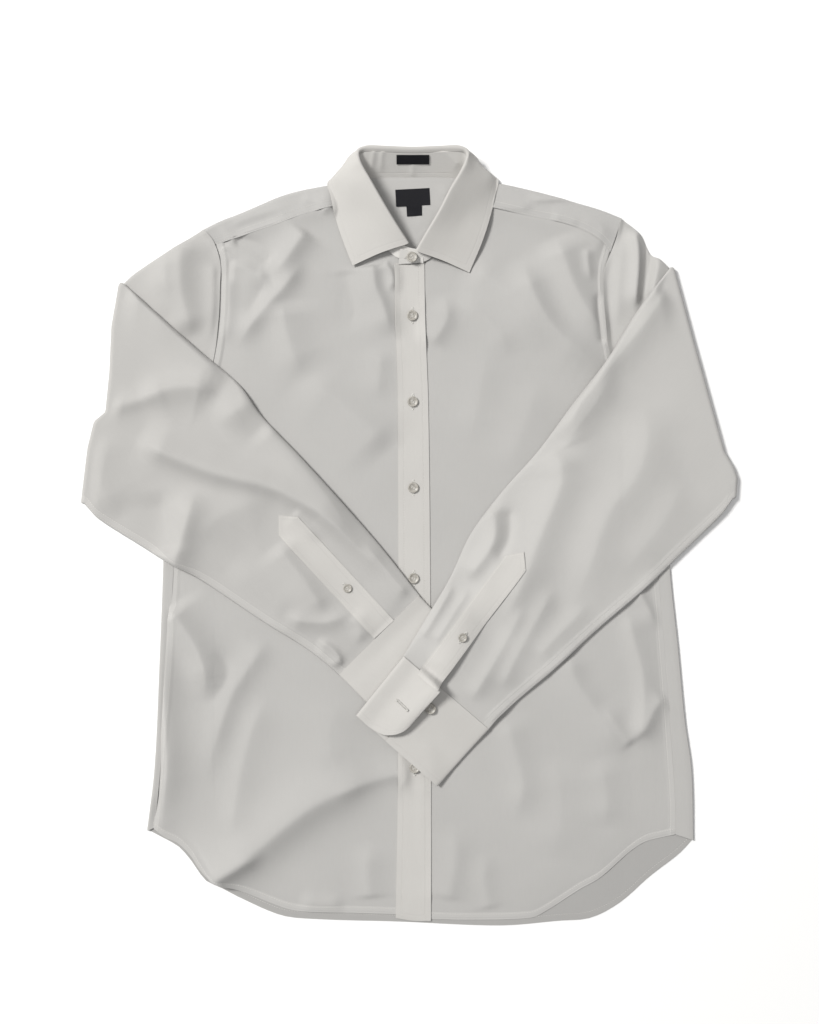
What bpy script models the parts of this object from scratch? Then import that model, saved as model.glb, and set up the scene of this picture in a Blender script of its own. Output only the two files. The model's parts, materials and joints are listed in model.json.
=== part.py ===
"""A long sleeve dress shirt that lies on its back, with both sleeves folded in across the front.

Run with:  blender --background --python part.py

Lengths here are millimetres, and become Blender's metres when a mesh is made. X runs from the
wearer's right to the wearer's left, Y from the hem to the collar, and Z up from the surface that
the shirt lies on. Outlines are drafted about a point near the middle of the front, and CENTRE
moves the finished pieces so that the whole shirt is centred on the origin.
"""

import math
from collections import namedtuple

import bmesh
import bpy
from mathutils import Vector
from mathutils.bvhtree import BVHTree

MM = 0.001
CENTRE = Vector((-0.2, 4.45, 0.0))

# ---- driving dimensions ---------------------------------------------------------------------
CLOTH = 1.0              # wall of one layer of shirting
BAND = 1.3               # wall of the fused pieces: collar, cuffs and plackets
GAP = 0.4                # air between two pieces that lie on each other
SEAM = 0.5               # air between two pieces along a seam
YOKE_LAP = 2.0           # how far the yoke's edge lies over the fronts
ARMHOLE_SEAM = 1.5       # the same along the strongly curved armhole
BUTTON_RADIUS = 5.6
SMALL_BUTTON_RADIUS = 4.6
BUTTON_HEIGHT = 2.2
BUTTON_RIM = 1.5
BUTTON_DISH = 0.6
SHOULDER_FOLD = 2.2      # radius of the fold along the shoulder
SLEEVE_FOLD = 4.5        # radius of the fold where a sleeve turns back over the front
SLEEVE_LAYERS = 2.7      # thickness of a flattened sleeve, wall to wall
SLEEVE_CROWN = 2.0       # how much fuller the forearm is along its middle
CUFF_LAYERS = 3.6        # the same thickness for the closed cuff
CUFF_UNDER = 3.5         # and for the open one, where it has two layers
CUFF_OVER = 5.4          # and where it has three
COLLAR_ROLL = 2.2        # radius of the rolled top edge of the collar
STAND_TOP = 4.0          # how far the band's seam with the fall lies under the roll
COLLAR_SEAM = 0.8        # air between the band and the fall along that seam

WHITE = (0.80, 0.79, 0.76)
BLACK = (0.02, 0.02, 0.024)
PEARL = (0.62, 0.60, 0.55)

# ---- outlines, as points in the plane of the surface -----------------------------------------
ARMHOLE_RIGHT = (
    (-204, 305), (-199.5, 284), (-199.5, 260), (-201, 224), (-207, 180), (-220, 140),
    (-236, 109), (-248, 93),
)
ARMHOLE_LEFT = (
    (210, 297), (204, 274), (203, 255), (205, 224), (209, 190), (222, 145), (240, 112), (256, 94),
)
SIDE_SEAM_RIGHT = ((-249, 60), (-250, -38), (-254, -112), (-259, -196), (-265, -270), (-270, -308))
SIDE_SEAM_LEFT = ((260, 70), (262, -32), (268, -112), (275, -206), (280, -280), (280, -315))
SIDE_EDGE_RIGHT = ((-255, 60), (-257, -29), (-261, -150), (-266, -250), (-274, -311))
SIDE_EDGE_LEFT = ((267, 70), (271, -32), (280, -122), (287, -196), (294, -248), (296, -321))
NECK_RIGHT = ((-58, 346), (-49, 330), (-37, 314), (-23, 298), (-8, 286), (12, 281))
NECK_LEFT = ((14, 281), (31, 297), (48, 318), (60, 338), (64, 344))
YOKE_SEAM_RIGHT = ((-204, 305), (-187, 310), (-163, 318), (-136, 327), (-115, 335), (-82, 344))
YOKE_SEAM_LEFT = ((91, 342), (126, 334), (152, 329), (178, 321), (199, 309), (210, 297))
ARMSCYE_RIGHT = ((-217, 318), (-207, 307)) + ARMHOLE_RIGHT[1:]
ARMSCYE_LEFT = ((222, 330), (217, 309)) + ARMHOLE_LEFT[1:]
SHOULDER_RIGHT = (
    (-217, 318), (-199, 327), (-178, 335), (-157, 344), (-136, 353), (-115, 359), (-84, 365),
    (-63, 369),
)
SHOULDER_LEFT = (
    (222, 330), (199, 339), (168, 348), (136, 357), (107, 364), (91, 367), (69, 370),
)
FRONT_HEM_RIGHT = (
    (-270, -308), (-257, -318), (-243, -325), (-230, -338), (-221, -352), (-210, -363),
    (-178, -374), (-133, -392), (-115, -396), (-52, -398), (12, -400),
)
FRONT_HEM_LEFT = (
    (14, -404), (60, -405), (126, -403), (142, -396), (178, -373), (199, -361), (231, -333),
    (247, -323), (262, -319), (280, -315),
)
BACK_HEM = (
    (-274, -311), (-257, -320), (-243, -328), (-231, -341), (-214, -364), (-199, -371),
    (-178, -382), (-136, -400), (-105, -404), (-10, -407), (94, -411), (157, -406), (189, -403),
    (220, -387), (252, -359), (283, -335), (296, -321),
)
MIDDLE = 3               # x of the middle of the back
YOKE_SEAM_BACK = 266     # the level of the yoke seam across the back
ARMHOLE_HALF = 201       # half the width of the back at that level
YokeLine = namedtuple("YokeLine", "foot_away neck_away neck_y")
YOKE_LINES = (           # lines across the yoke's back part, by distance from the middle
    YokeLine(199, 53, 370), YokeLine(130, 36, 371), YokeLine(60, 18, 371.5),
)
YOKE_NECK_CORNER = (61, 369)
YOKE_NECK_SIDE = (58, 369)

Fold = namedtuple("Fold", "x0 y0 x1 y1 bend half_width height")
FRONT_FOLDS = (
    Fold(-118, 305, -180, 222, 4, 17, 3.0),
    Fold(-131, 250, -132, 165, 0, 18, 2.0),
    Fold(-50, 262, -54, 180, 0, 17, 2.4),
    Fold(-18, -262, -205, -362, -8, 22, 4.2),
    Fold(-235, -60, -200, -170, 0, 18, 2.6),
    Fold(-165, -112, -222, -232, 6, 17, 2.8),
    Fold(-112, -140, -185, -275, 6, 22, 2.6),
    Fold(142, 298, 190, 200, 4, 15, 3.4),
    Fold(70, 262, 128, 212, 3, 18, 2.0),
    Fold(232, -85, 240, -222, 0, 17, 3.0),
    Fold(120, -170, 160, -330, 0, 28, 2.4),
    Fold(60, -215, 66, -330, 0, 22, 1.8),
)

Sleeve = namedtuple(
    "Sleeve",
    "name armhole seam_side over_arm upper_edge lower_edge fold_bow arm_folds forearm_folds",
)
SLEEVE_RIGHT = Sleeve(
    name="sleeve_right",
    armhole=ARMSCYE_RIGHT,
    seam_side=-1,
    over_arm=((-257, 293), (-289, 272)),
    upper_edge=(
        (-300, 262), (-262, 228), (-220, 191), (-178, 155), (-155, 123), (-115, 81), (-73, 35),
        (-31, -13), (10.6, -65.6),
    ),
    lower_edge=(
        (-337, 37), (-325, 17), (-283, -11), (-257, -28), (-220, -48), (-157, -90), (-115, -116),
        (-94, -131), (-73.4, -148.6),
    ),
    fold_bow=((0.0, 0), (0.2, 0), (0.4, -6), (0.58, -9), (0.63, 1), (0.75, 3), (1.0, 0)),
    arm_folds=(Fold(-211, 270, -211, 206, 0, 11, 2.0),),
    forearm_folds=(
        Fold(-275, 112, -65, 14, -10, 17, 4.0),
        Fold(-248, 60, -243, -18, 0, 17, 4.0),
        Fold(-158, 112, -152, 62, 0, 16, 2.6),
        Fold(-292, 122, -205, 124, 8, 16, 3.0),
        Fold(-102, -112, -74, -132, 0, 12, 2.6),
    ),
)
SLEEVE_LEFT = Sleeve(
    name="sleeve_left",
    armhole=ARMSCYE_LEFT,
    seam_side=1,
    over_arm=((241, 314), (253, 292), (262, 287)),
    upper_edge=(
        (272, 278), (241, 238), (205, 181), (168, 133), (136, 89), (94, 41), (63, -1), (42, -46),
        (21, -81), (-7.6, -128.6),
    ),
    lower_edge=(
        (337, 36), (325, 19), (283, -22), (252, -52), (199, -98), (147, -145), (94, -191),
        (81.4, -205.6),
    ),
    fold_bow=((0.0, 0), (0.3, 0), (0.8, 1), (0.87, 6), (0.92, 7), (1.0, 0)),
    arm_folds=(Fold(219, 296, 214, 222, 0, 13, 3.4),),
    forearm_folds=(
        Fold(285, 190, 232, 40, 0, 22, 3.0),
        Fold(215, 110, 118, -70, 0, 17, 3.0),
        Fold(258, 20, 138, -120, 0, 20, 2.6),
        Fold(120, 55, 66, -60, 0, 14, 2.4),
        Fold(128, -100, 84, -168, 0, 16, 2.0),
    ),
)
SLEEVE_COLUMNS = (0.0, 0.1, 0.2, 0.3, 0.4, 0.5, 0.57, 0.63, 0.72, 0.82, 0.91, 1.0)
FOREARM_ROWS = (0.04, 0.1, 0.18, 0.27, 0.36, 0.46, 0.56, 0.66, 0.76, 0.86, 0.92, 0.97, 1.0)

Cuff = namedtuple("Cuff", "seam_a seam_b end_a end_b")
CUFF_RIGHT = Cuff(seam_a=(11, -66), seam_b=(-73, -149), end_a=(61, -118), end_b=(-22, -200))
CUFF_LEFT = Cuff(seam_a=(-8, -129), seam_b=(81, -206), end_a=(-56, -189), end_b=(29, -264))
CUFF_CORNER = 18.0       # radius of the rounded corner of the cuff's buttonhole end
CUFF_OVERLAP = (0.36, 0.44)  # where its two ends lie, as shares of its width

Strip = namedtuple("Strip", "name foot tip width button")
GAUNTLET_RIGHT = Strip("gauntlet_right", (-27, -100), (-137, 19), 28.0, button=(-65, -57))
GAUNTLET_LEFT = Strip("gauntlet_left", (23, -146), (118, -19), 26.0, button=(54.6, -107.6))
GAUNTLET_POINT = 1.1     # length of the pointed end against half the strip's width

# ---- the collar, station by station from the middle of the back to the front -------------------
# neck: where the band is sewn on.  fold: the rolled top edge.  side: the widest part of the fall
# below the roll.  edge: the outer edge of the fall.
Station = namedtuple(
    "Station", "neck_x neck_y fold_x fold_y fold_z side_x side_y side_z edge_x edge_y edge_z"
)
COLLAR_BACK = Station(3, 373, 3, 400, 24, 3, 391, 8.5, 3, 378, 0)
COLLAR_RIGHT = (
    Station(-26, 373, -27, 401, 24.5, -28, 392, 9, -28, 379, 0),
    Station(-45, 372, -45, 401, 25.5, -48, 394, 10, -47, 381, 0),
    Station(-55, 369, -54, 396, 27, -63, 393, 11, -60, 381, 0),
    Station(-60, 364, -52, 386, 28, -71, 383, 12, -73, 377, 0.6),
    Station(-62, 357, -47, 376, 28, -78, 371, 12, -86, 368, 2.5),
    Station(-58, 347, -41, 366, 28, -66, 359, 17, -83, 353, 5),
    Station(-44, 327, -27, 342, 25, -52, 335, 14, -77, 327, 4),
    Station(-29, 305, -13, 320, 20, -40, 312, 11.5, -69, 303, 4),
    Station(-13, 289, -1, 303, 14, -30, 293, 9, -60, 280, 4),
)
COLLAR_LEFT = (
    Station(32, 373, 33, 401, 24.5, 34, 392, 9, 34, 379, 0),
    Station(51, 372, 51, 401, 25.5, 54, 394, 10, 53, 381, 0),
    Station(61, 369, 60, 395, 27, 69, 392, 11, 66, 381, 0),
    Station(66, 363, 57, 384, 28, 76, 383, 12, 79, 378, 0.6),
    Station(67, 355, 51, 372, 28, 83, 373, 12, 92, 371, 2.5),
    Station(62, 344, 42, 357, 28, 70, 355, 17, 89, 353, 5),
    Station(49, 325, 30, 334, 25, 56, 329, 14, 83, 328, 4),
    Station(33, 302, 16, 311, 20, 45, 303, 11.5, 74, 301, 4),
    Station(17, 286, 6, 295, 14, 34, 285, 9, 62, 273, 4),
)
# The two ends of the band lap at the throat, the wearer's left over the right.
BandEnd = namedtuple("BandEnd", "neck top")
BAND_UNDER = BandEnd(neck=(14, 283, 4.6), top=(13, 296, 8.5))
BAND_OVER = BandEnd(neck=(-12, 282, 6.9), top=(-10, 297, 9.4))
BAND_STEPS = 3

Label = namedtuple("Label", "name x y width depth turn")
LABELS = (
    Label("label_main", 3.0, 352.5, 36, 18, 3.0),
    Label("label_size", 4.5, 336.5, 16, 11, 3.0),
)
LABEL_WALL = 0.7
BAND_LABEL = (34.0, 11.0)
COLLAR_BUTTON = (2.1, 288.4)
FRONT_BUTTONS = (228, 138, 48, -47, -145, -245)
FRONT_BUTTON_X = 2.0
FRONT_BUTTON_DRIFT = 0.5  # the placket leans a little, button by button
CUFF_BUTTON_RIGHT = (2, -131)
CUFF_BUTTON_LEFT = (23, -184)


def clean_scene():
    for obj in list(bpy.data.objects):
        bpy.data.objects.remove(obj)


def finish_material(name, colour, roughness):
    material = bpy.data.materials.new(name)
    material.use_nodes = True
    shader = material.node_tree.nodes["Principled BSDF"]
    shader.inputs["Base Color"].default_value = (*colour, 1.0)
    shader.inputs["Roughness"].default_value = roughness
    shader.inputs["Metallic"].default_value = 0.0
    return material


def world(point):
    return (point + CENTRE) * MM


# ---- the pile: what has been laid down so far --------------------------------------------------
class Pile:
    """The pieces laid so far, asked how high they stand at a place."""

    def __init__(self):
        self.trees = []

    def add(self, *objects):
        graph = bpy.context.evaluated_depsgraph_get()
        self.trees += [BVHTree.FromObject(obj, graph) for obj in objects]

    def top(self, x, y, reach=9.0):
        """The highest surface within reach of (x, y), or 0 for the bare surface."""
        down = Vector((0, 0, -1))
        highest = 0.0
        for away, turn in RAYS:
            away *= reach
            spot = Vector((x + away * math.cos(turn), y + away * math.sin(turn), ABOVE))
            for tree in self.trees:
                hit = tree.ray_cast(world(spot), down)[0]
                if hit is not None:
                    highest = max(highest, hit.z / MM)
        return highest


ABOVE = 500.0            # a height over everything
COLLAR_REACH = 6.0       # how far round a place of each kind of piece the pile is probed
SLEEVE_REACH = 14.0
STIFF_REACH = 20.0
BUTTON_REACH = 1.5       # this one beyond the button's rim
RAYS = [(0.0, 0.0)]      # where a place is probed: two rings round it and the place itself
RAYS += [(1.0, math.radians(30 * i)) for i in range(12)]
RAYS += [(0.55, math.radians(30 * i + 15)) for i in range(12)]
PILE = Pile()


# ---- curves, outlines and folds ---------------------------------------------------------------
def measure(points):
    """How far along each point lies, from the first."""
    reach = [0.0]
    for before, after in zip(points, points[1:]):
        reach.append(reach[-1] + (after - before).length)
    return reach


def through(*points, reach=None):
    """A smooth curve through the points, as a function of 0 to 1 along its length, or along the
    given measure of length."""
    knots = [Vector((*p, 0.0)) if len(p) == 2 else Vector(p) for p in points]
    reach = reach or measure(knots)
    slopes = []
    for i in range(len(knots)):
        lower, upper = max(i - 1, 0), min(i + 1, len(knots) - 1)
        slopes.append((knots[upper] - knots[lower]) / (reach[upper] - reach[lower]))

    def at(share):
        distance = min(max(share, 0.0), 1.0) * reach[-1]
        i = 0
        while i < len(knots) - 2 and distance > reach[i + 1]:
            i += 1
        span = reach[i + 1] - reach[i]
        s = (distance - reach[i]) / span
        return (
            knots[i] * (2 * s**3 - 3 * s**2 + 1) + knots[i + 1] * (3 * s**2 - 2 * s**3)
            + slopes[i] * span * (s**3 - 2 * s**2 + s) + slopes[i + 1] * span * (s**3 - s**2)
        )

    return at


def beside(points, distance):
    """The points moved sideways by a distance, to the left of the way they run."""
    moved = []
    for i, point in enumerate(points):
        before, after = points[max(i - 1, 0)], points[min(i + 1, len(points) - 1)]
        along = (Vector(after) - Vector(before)).normalized()
        moved.append((point[0] - along.y * distance, point[1] + along.x * distance))
    return moved


def patch(top, bottom, first, last):
    """The plane region between four edge curves, as a function of (across, down)."""
    def at(u, v):
        edges = top(u) * (1 - v) + bottom(u) * v + first(v) * (1 - u) + last(v) * u
        corners = (
            (top(0) * (1 - u) + top(1) * u) * (1 - v)
            + (bottom(0) * (1 - u) + bottom(1) * u) * v
        )
        return edges - corners

    return at


def ease(share):
    """0 to 1 with a soft start and end."""
    share = min(max(share, 0.0), 1.0)
    return share * share * (3 - 2 * share)


def between(rows, share):
    """Reads a table of (share, value) rows with straight steps between them."""
    for (s0, v0), (s1, v1) in zip(rows, rows[1:]):
        if share <= s1:
            return v0 + (v1 - v0) * (share - s0) / (s1 - s0)
    return rows[-1][1]


def fold_line(fold, share):
    start, end = Vector((fold.x0, fold.y0)), Vector((fold.x1, fold.y1))
    along = (end - start).normalized()
    side = Vector((-along.y, along.x))
    return start.lerp(end, share) + side * fold.bend * 4 * share * (1 - share)


def relief(x, y, folds, steps=8):
    """How far the folds lift the cloth at a place."""
    here = Vector((x, y))
    lift = 0.0
    for fold in folds:
        near, where = 1e9, 0.0
        for i in range(steps):
            a, b = fold_line(fold, i / steps), fold_line(fold, (i + 1) / steps)
            s = min(max((here - a).dot(b - a) / (b - a).length_squared, 0.0), 1.0)
            distance = (here - a.lerp(b, s)).length
            if distance < near:
                near, where = distance, (i + s) / steps
        if near < fold.half_width:
            profile = (1 - (near / fold.half_width) ** 2) ** 2
            lift += fold.height * profile * (1 - (2 * where - 1) ** 4)
    return lift


# ---- mesh makers ------------------------------------------------------------------------------
def set_rows(bm, rows, wrap=False):
    """Moves the points of a fresh grid to the given rows of places."""
    across = len(rows[0]) - (0 if wrap else 1)
    along = len(rows) - (0 if wrap else 1)
    for vert in bm.verts:
        i = round((vert.co.x + 0.5) * across) % len(rows[0])
        j = round((vert.co.y + 0.5) * along) % len(rows)
        vert.co = world(rows[j][i])


def new_object(name, bm, material):
    mesh = bpy.data.meshes.new(name)
    bm.to_mesh(mesh)
    bm.free()
    mesh.materials.append(material)
    mesh.shade_smooth()
    obj = bpy.data.objects.new(name, mesh)
    bpy.context.scene.collection.objects.link(obj)
    return obj


def sheet(name, rows, wall, offset, material):
    """A wall of cloth on rows of places: offset 1 puts it on the faces' side, -1 behind them."""
    bm = bmesh.new()
    bmesh.ops.create_grid(
        bm, x_segments=len(rows[0]) - 1, y_segments=len(rows) - 1, size=0.5
    )
    set_rows(bm, rows)
    obj = new_object(name, bm, material)
    solidify = obj.modifiers.new("wall", "SOLIDIFY")
    solidify.thickness = wall * MM
    solidify.offset = offset
    return obj


def tube(name, outer, inner, material):
    """A wall between an outer and an inner tube, each a list of closed loops of places."""
    rows = outer + inner[::-1]
    bm = bmesh.new()
    bmesh.ops.create_grid(bm, x_segments=len(rows[0]), y_segments=len(rows), size=0.5)
    set_rows(bm, rows, wrap=True)
    bmesh.ops.remove_doubles(bm, verts=bm.verts, dist=1e-7)
    bmesh.ops.recalc_face_normals(bm, faces=bm.faces)
    return new_object(name, bm, material)


def rows_of(place, across, along):
    """Rows of places from a function of (across, along), from the last row to the first, so that
    a region drafted left to right and top to bottom faces up."""
    return [[place(i / across, 1 - j / along) for i in range(across + 1)] for j in range(along + 1)]


def lying(plan, reach=9.0):
    """Lays a plane outline on the pile."""
    def place(u, v):
        spot = plan(u, v)
        spot.z = PILE.top(spot.x, spot.y, reach) + GAP
        return spot

    return place


def spanned(heights):
    """The lowest line without hollows over evenly spaced heights, as a stiff cloth lies on them."""
    last = len(heights) - 1
    spans = []
    for i, height in enumerate(heights):
        for before in range(i):
            for after in range(i + 1, last + 1):
                part = (i - before) / (after - before)
                height = max(height, heights[before] * (1 - part) + heights[after] * part)
        spans.append(height)
    return spans


def stiff_rest(line, steps=12):
    """How a stiff cloth rests along a line of places over the pile, as a function of 0 to 1."""
    spots = [line(i / steps) for i in range(steps + 1)]
    heights = spanned([PILE.top(spot.x, spot.y, STIFF_REACH) + GAP for spot in spots])

    def at(share):
        i = min(int(share * steps), steps - 1)
        part = share * steps - i
        return heights[i] * (1 - part) + heights[i + 1] * part

    return at


# ---- body -------------------------------------------------------------------------------------
def make_back(material):
    high = YOKE_SEAM_BACK - SEAM
    right = ((MIDDLE - ARMHOLE_HALF, high),) + ARMHOLE_RIGHT[3:] + SIDE_EDGE_RIGHT
    left = ((MIDDLE + ARMHOLE_HALF, high),) + ARMHOLE_LEFT[3:] + SIDE_EDGE_LEFT
    plan = patch(
        top=through(right[0], left[0]), bottom=through(*BACK_HEM),
        first=through(*right), last=through(*left),
    )
    return sheet("back", rows_of(plan, 14, 22), CLOTH, 1, material)


def yoke_fold(shoulder, angle, share):
    """A place on the fold over the shoulder: angle 0 is underneath, 180 on top."""
    along = shoulder(share + 0.01) - shoulder(share - 0.01)
    inward = Vector((along.y, -along.x, 0)).normalized()
    if inward.y > 0:
        inward.negate()
    turn = math.radians(angle)
    spot = shoulder(share) + inward * SHOULDER_FOLD * (1 - math.sin(turn))
    spot.z = SHOULDER_FOLD * (1 - math.cos(turn))
    return spot


def make_yoke(material):
    """One strip round the neck: right front seam, shoulder, back, shoulder, left front seam."""
    columns = 9
    lines = []
    low = YOKE_SEAM_BACK + SEAM
    lapped = 2 * (CLOTH + GAP) + CLOTH

    def line_to(foot, away, neck_y):
        """A line across the back part, from its outer edge to a place at the neck."""
        start, end = Vector((*foot, 0)), Vector((MIDDLE + away, neck_y, 0))
        return [start.lerp(end, i / columns) for i in range(columns + 1)]

    halves = (
        (YOKE_SEAM_RIGHT + ((-59, 349),), SHOULDER_RIGHT, ARMSCYE_RIGHT, -1),
        (YOKE_SEAM_LEFT[::-1] + ((66, 347),), SHOULDER_LEFT, ARMSCYE_LEFT, 1),
    )
    for seam, shoulder, armhole, side in halves:
        seam_line, shoulder_line = through(*seam), through(*shoulder)
        half = []
        for share in (0.0, 0.35, 0.7):
            rise = lapped + (2 * SHOULDER_FOLD - lapped) * ease(share)
            half.append([
                seam_line(i / columns).lerp(
                    yoke_fold(shoulder_line, 180, i / columns).xy.to_3d(), share
                ) + Vector((0, -YOKE_LAP * (1 - share), rise))
                for i in range(columns + 1)
            ])
        for angle in (180, 135, 90, 45, 0):
            half.append([yoke_fold(shoulder_line, angle, i / columns) for i in range(columns + 1)])
        half.append(line_to(armhole[1], side * YOKE_NECK_CORNER[0], YOKE_NECK_CORNER[1]))
        half.append(line_to(armhole[2], side * YOKE_NECK_SIDE[0], YOKE_NECK_SIDE[1]))
        for line in YOKE_LINES:
            foot = (MIDDLE + side * line.foot_away, low)
            half.append(line_to(foot, side * line.neck_away, line.neck_y))
        if side < 0:
            lines += half
            lines.append(line_to((MIDDLE, low), 0, YOKE_LINES[-1].neck_y))
        else:
            lines += half[::-1]
    return sheet("yoke", lines, CLOTH, -1, material)


def make_fronts(material):
    right = patch(
        top=through(*YOKE_SEAM_RIGHT, *NECK_RIGHT),
        bottom=through(*FRONT_HEM_RIGHT),
        first=through(*ARMHOLE_RIGHT, *SIDE_SEAM_RIGHT),
        last=through(NECK_RIGHT[-1], FRONT_HEM_RIGHT[-1]),
    )
    left = patch(
        top=through(*NECK_LEFT, *YOKE_SEAM_LEFT),
        bottom=through(*FRONT_HEM_LEFT),
        first=through(NECK_LEFT[0], FRONT_HEM_LEFT[0]),
        last=through(*ARMHOLE_LEFT, *SIDE_SEAM_LEFT),
    )

    def place_on(plan):
        def place(u, v):
            spot = plan(u, v)
            spot.z = CLOTH + GAP + relief(spot.x, spot.y, FRONT_FOLDS)
            return spot

        return place

    return (
        sheet("front_right", rows_of(place_on(right), 16, 28), CLOTH, 1, material),
        sheet("front_left", rows_of(place_on(left), 16, 28), CLOTH, 1, material),
    )


def make_placket(material):
    left_edge = through((-16, 283), (-15, 220), (-12.6, 140), (-12.6, -259), (-15, -403))
    right_edge = through((15, 284), (16, 220), (19, 140), (21, -28), (22, -259), (22, -406))
    plan = patch(
        top=through((-16, 283), (2, 281), (15, 284)),
        bottom=through((-15, -403), (4, -406), (22, -406)),
        first=left_edge, last=right_edge,
    )
    return sheet("placket", rows_of(lying(plan), 2, 24), BAND, 1, material)


# ---- collar -----------------------------------------------------------------------------------
Frame = namedtuple("Frame", "neck centre up out side edge")


def collar_frames(stations):
    """Each station's places, with the directions up the band and out, square to its run."""
    folds = [Vector((s.fold_x, s.fold_y, s.fold_z)) for s in stations]
    frames = []
    for i, station in enumerate(stations):
        run = (folds[min(i + 1, len(folds) - 1)] - folds[max(i - 1, 0)]).normalized()
        neck = Vector((station.neck_x, station.neck_y, 0))
        neck.z = PILE.top(neck.x, neck.y, COLLAR_REACH) + GAP
        up = folds[i] - neck
        up = (up - run * up.dot(run)).normalized()
        side = Vector((station.side_x, station.side_y, station.side_z))
        edge = Vector((station.edge_x, station.edge_y, station.edge_z))
        frames.append(Frame(neck, folds[i] - up * COLLAR_ROLL, up, up.cross(run), side, edge))
    return frames


def band_top(frame):
    return frame.centre - frame.out * COLLAR_ROLL - frame.up * STAND_TOP


def in_steps(low, high):
    return [low.lerp(high, i / BAND_STEPS) for i in range(BAND_STEPS + 1)]


def leaf_section(frame):
    """From the seam with the band over the roll and down to the edge of the fall."""
    points = [band_top(frame) + frame.up * COLLAR_SEAM]
    for angle in (0, 60, 120, 180):
        turn = math.radians(angle)
        turned = frame.up * math.sin(turn) - frame.out * math.cos(turn)
        points.append(frame.centre + turned * COLLAR_ROLL)
    fall = through(points[-1], frame.side, frame.edge)
    points += [fall(share) for share in (0.25, 0.5, 0.75, 1.0)]
    if frame.edge.z > 1.0:
        for point in points[6:]:
            point.z = max(point.z, PILE.top(point.x, point.y, COLLAR_REACH) + GAP + BAND)
    return points


def smooth_sections(sections, steps):
    """More sections between the given ones. All columns share one measure of length, so that each
    given section stays one section."""
    reach = measure([section[0] for section in sections])
    curves = [through(*column, reach=reach) for column in zip(*sections)]
    rows = []
    for before, after in zip(reach, reach[1:]):
        for step in range(steps):
            share = (before + (after - before) * step / steps) / reach[-1]
            rows.append([curve(share) for curve in curves])
    rows.append([curve(1.0) for curve in curves])
    return rows


def make_collar(fused, woven, pearl):
    """The band, its label and button, and the fall, which share their sections along the band."""
    stations = COLLAR_RIGHT[::-1] + (COLLAR_BACK,) + COLLAR_LEFT
    frames = collar_frames(stations)
    sections = [in_steps(f.neck, band_top(f)) + leaf_section(f) for f in frames]
    rows = smooth_sections(sections, 2)
    band = [in_steps(Vector(end.neck), Vector(end.top)) for end in (BAND_UNDER, BAND_OVER)]
    band[1:1] = [row[:BAND_STEPS + 1] for row in rows]
    PILE.add(sheet("collar_stand", band, BAND, 1, fused))
    PILE.add(make_band_label(frames[len(COLLAR_RIGHT)], woven))
    PILE.add(make_button("button_collar", *COLLAR_BUTTON, BUTTON_RADIUS, pearl))
    leaf = [row[BAND_STEPS + 1:] for row in rows]
    for row in leaf:
        for point in row:
            point.z = max(point.z, 0.0)
    PILE.add(sheet("collar_leaf", leaf, BAND, 1, fused))


# ---- sleeves and cuffs ------------------------------------------------------------------------
def loop(spot, width, layers, columns, inset):
    """A closed loop round a flattened tube. spot(w, share, inset) is the place at the share w of
    its width and the given share of its thickness, inset from both faces."""
    edge = (layers / 2 + 1.4 * inset) / width
    tip = 1.2 * inset / width
    shares = [edge + (1 - 2 * edge) * c for c in columns]
    return (
        [spot(tip, 0.5, inset)] + [spot(w, 0.0, inset) for w in shares]
        + [spot(1 - tip, 0.5, inset)] + [spot(w, 1.0, inset) for w in reversed(shares)]
    )


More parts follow.
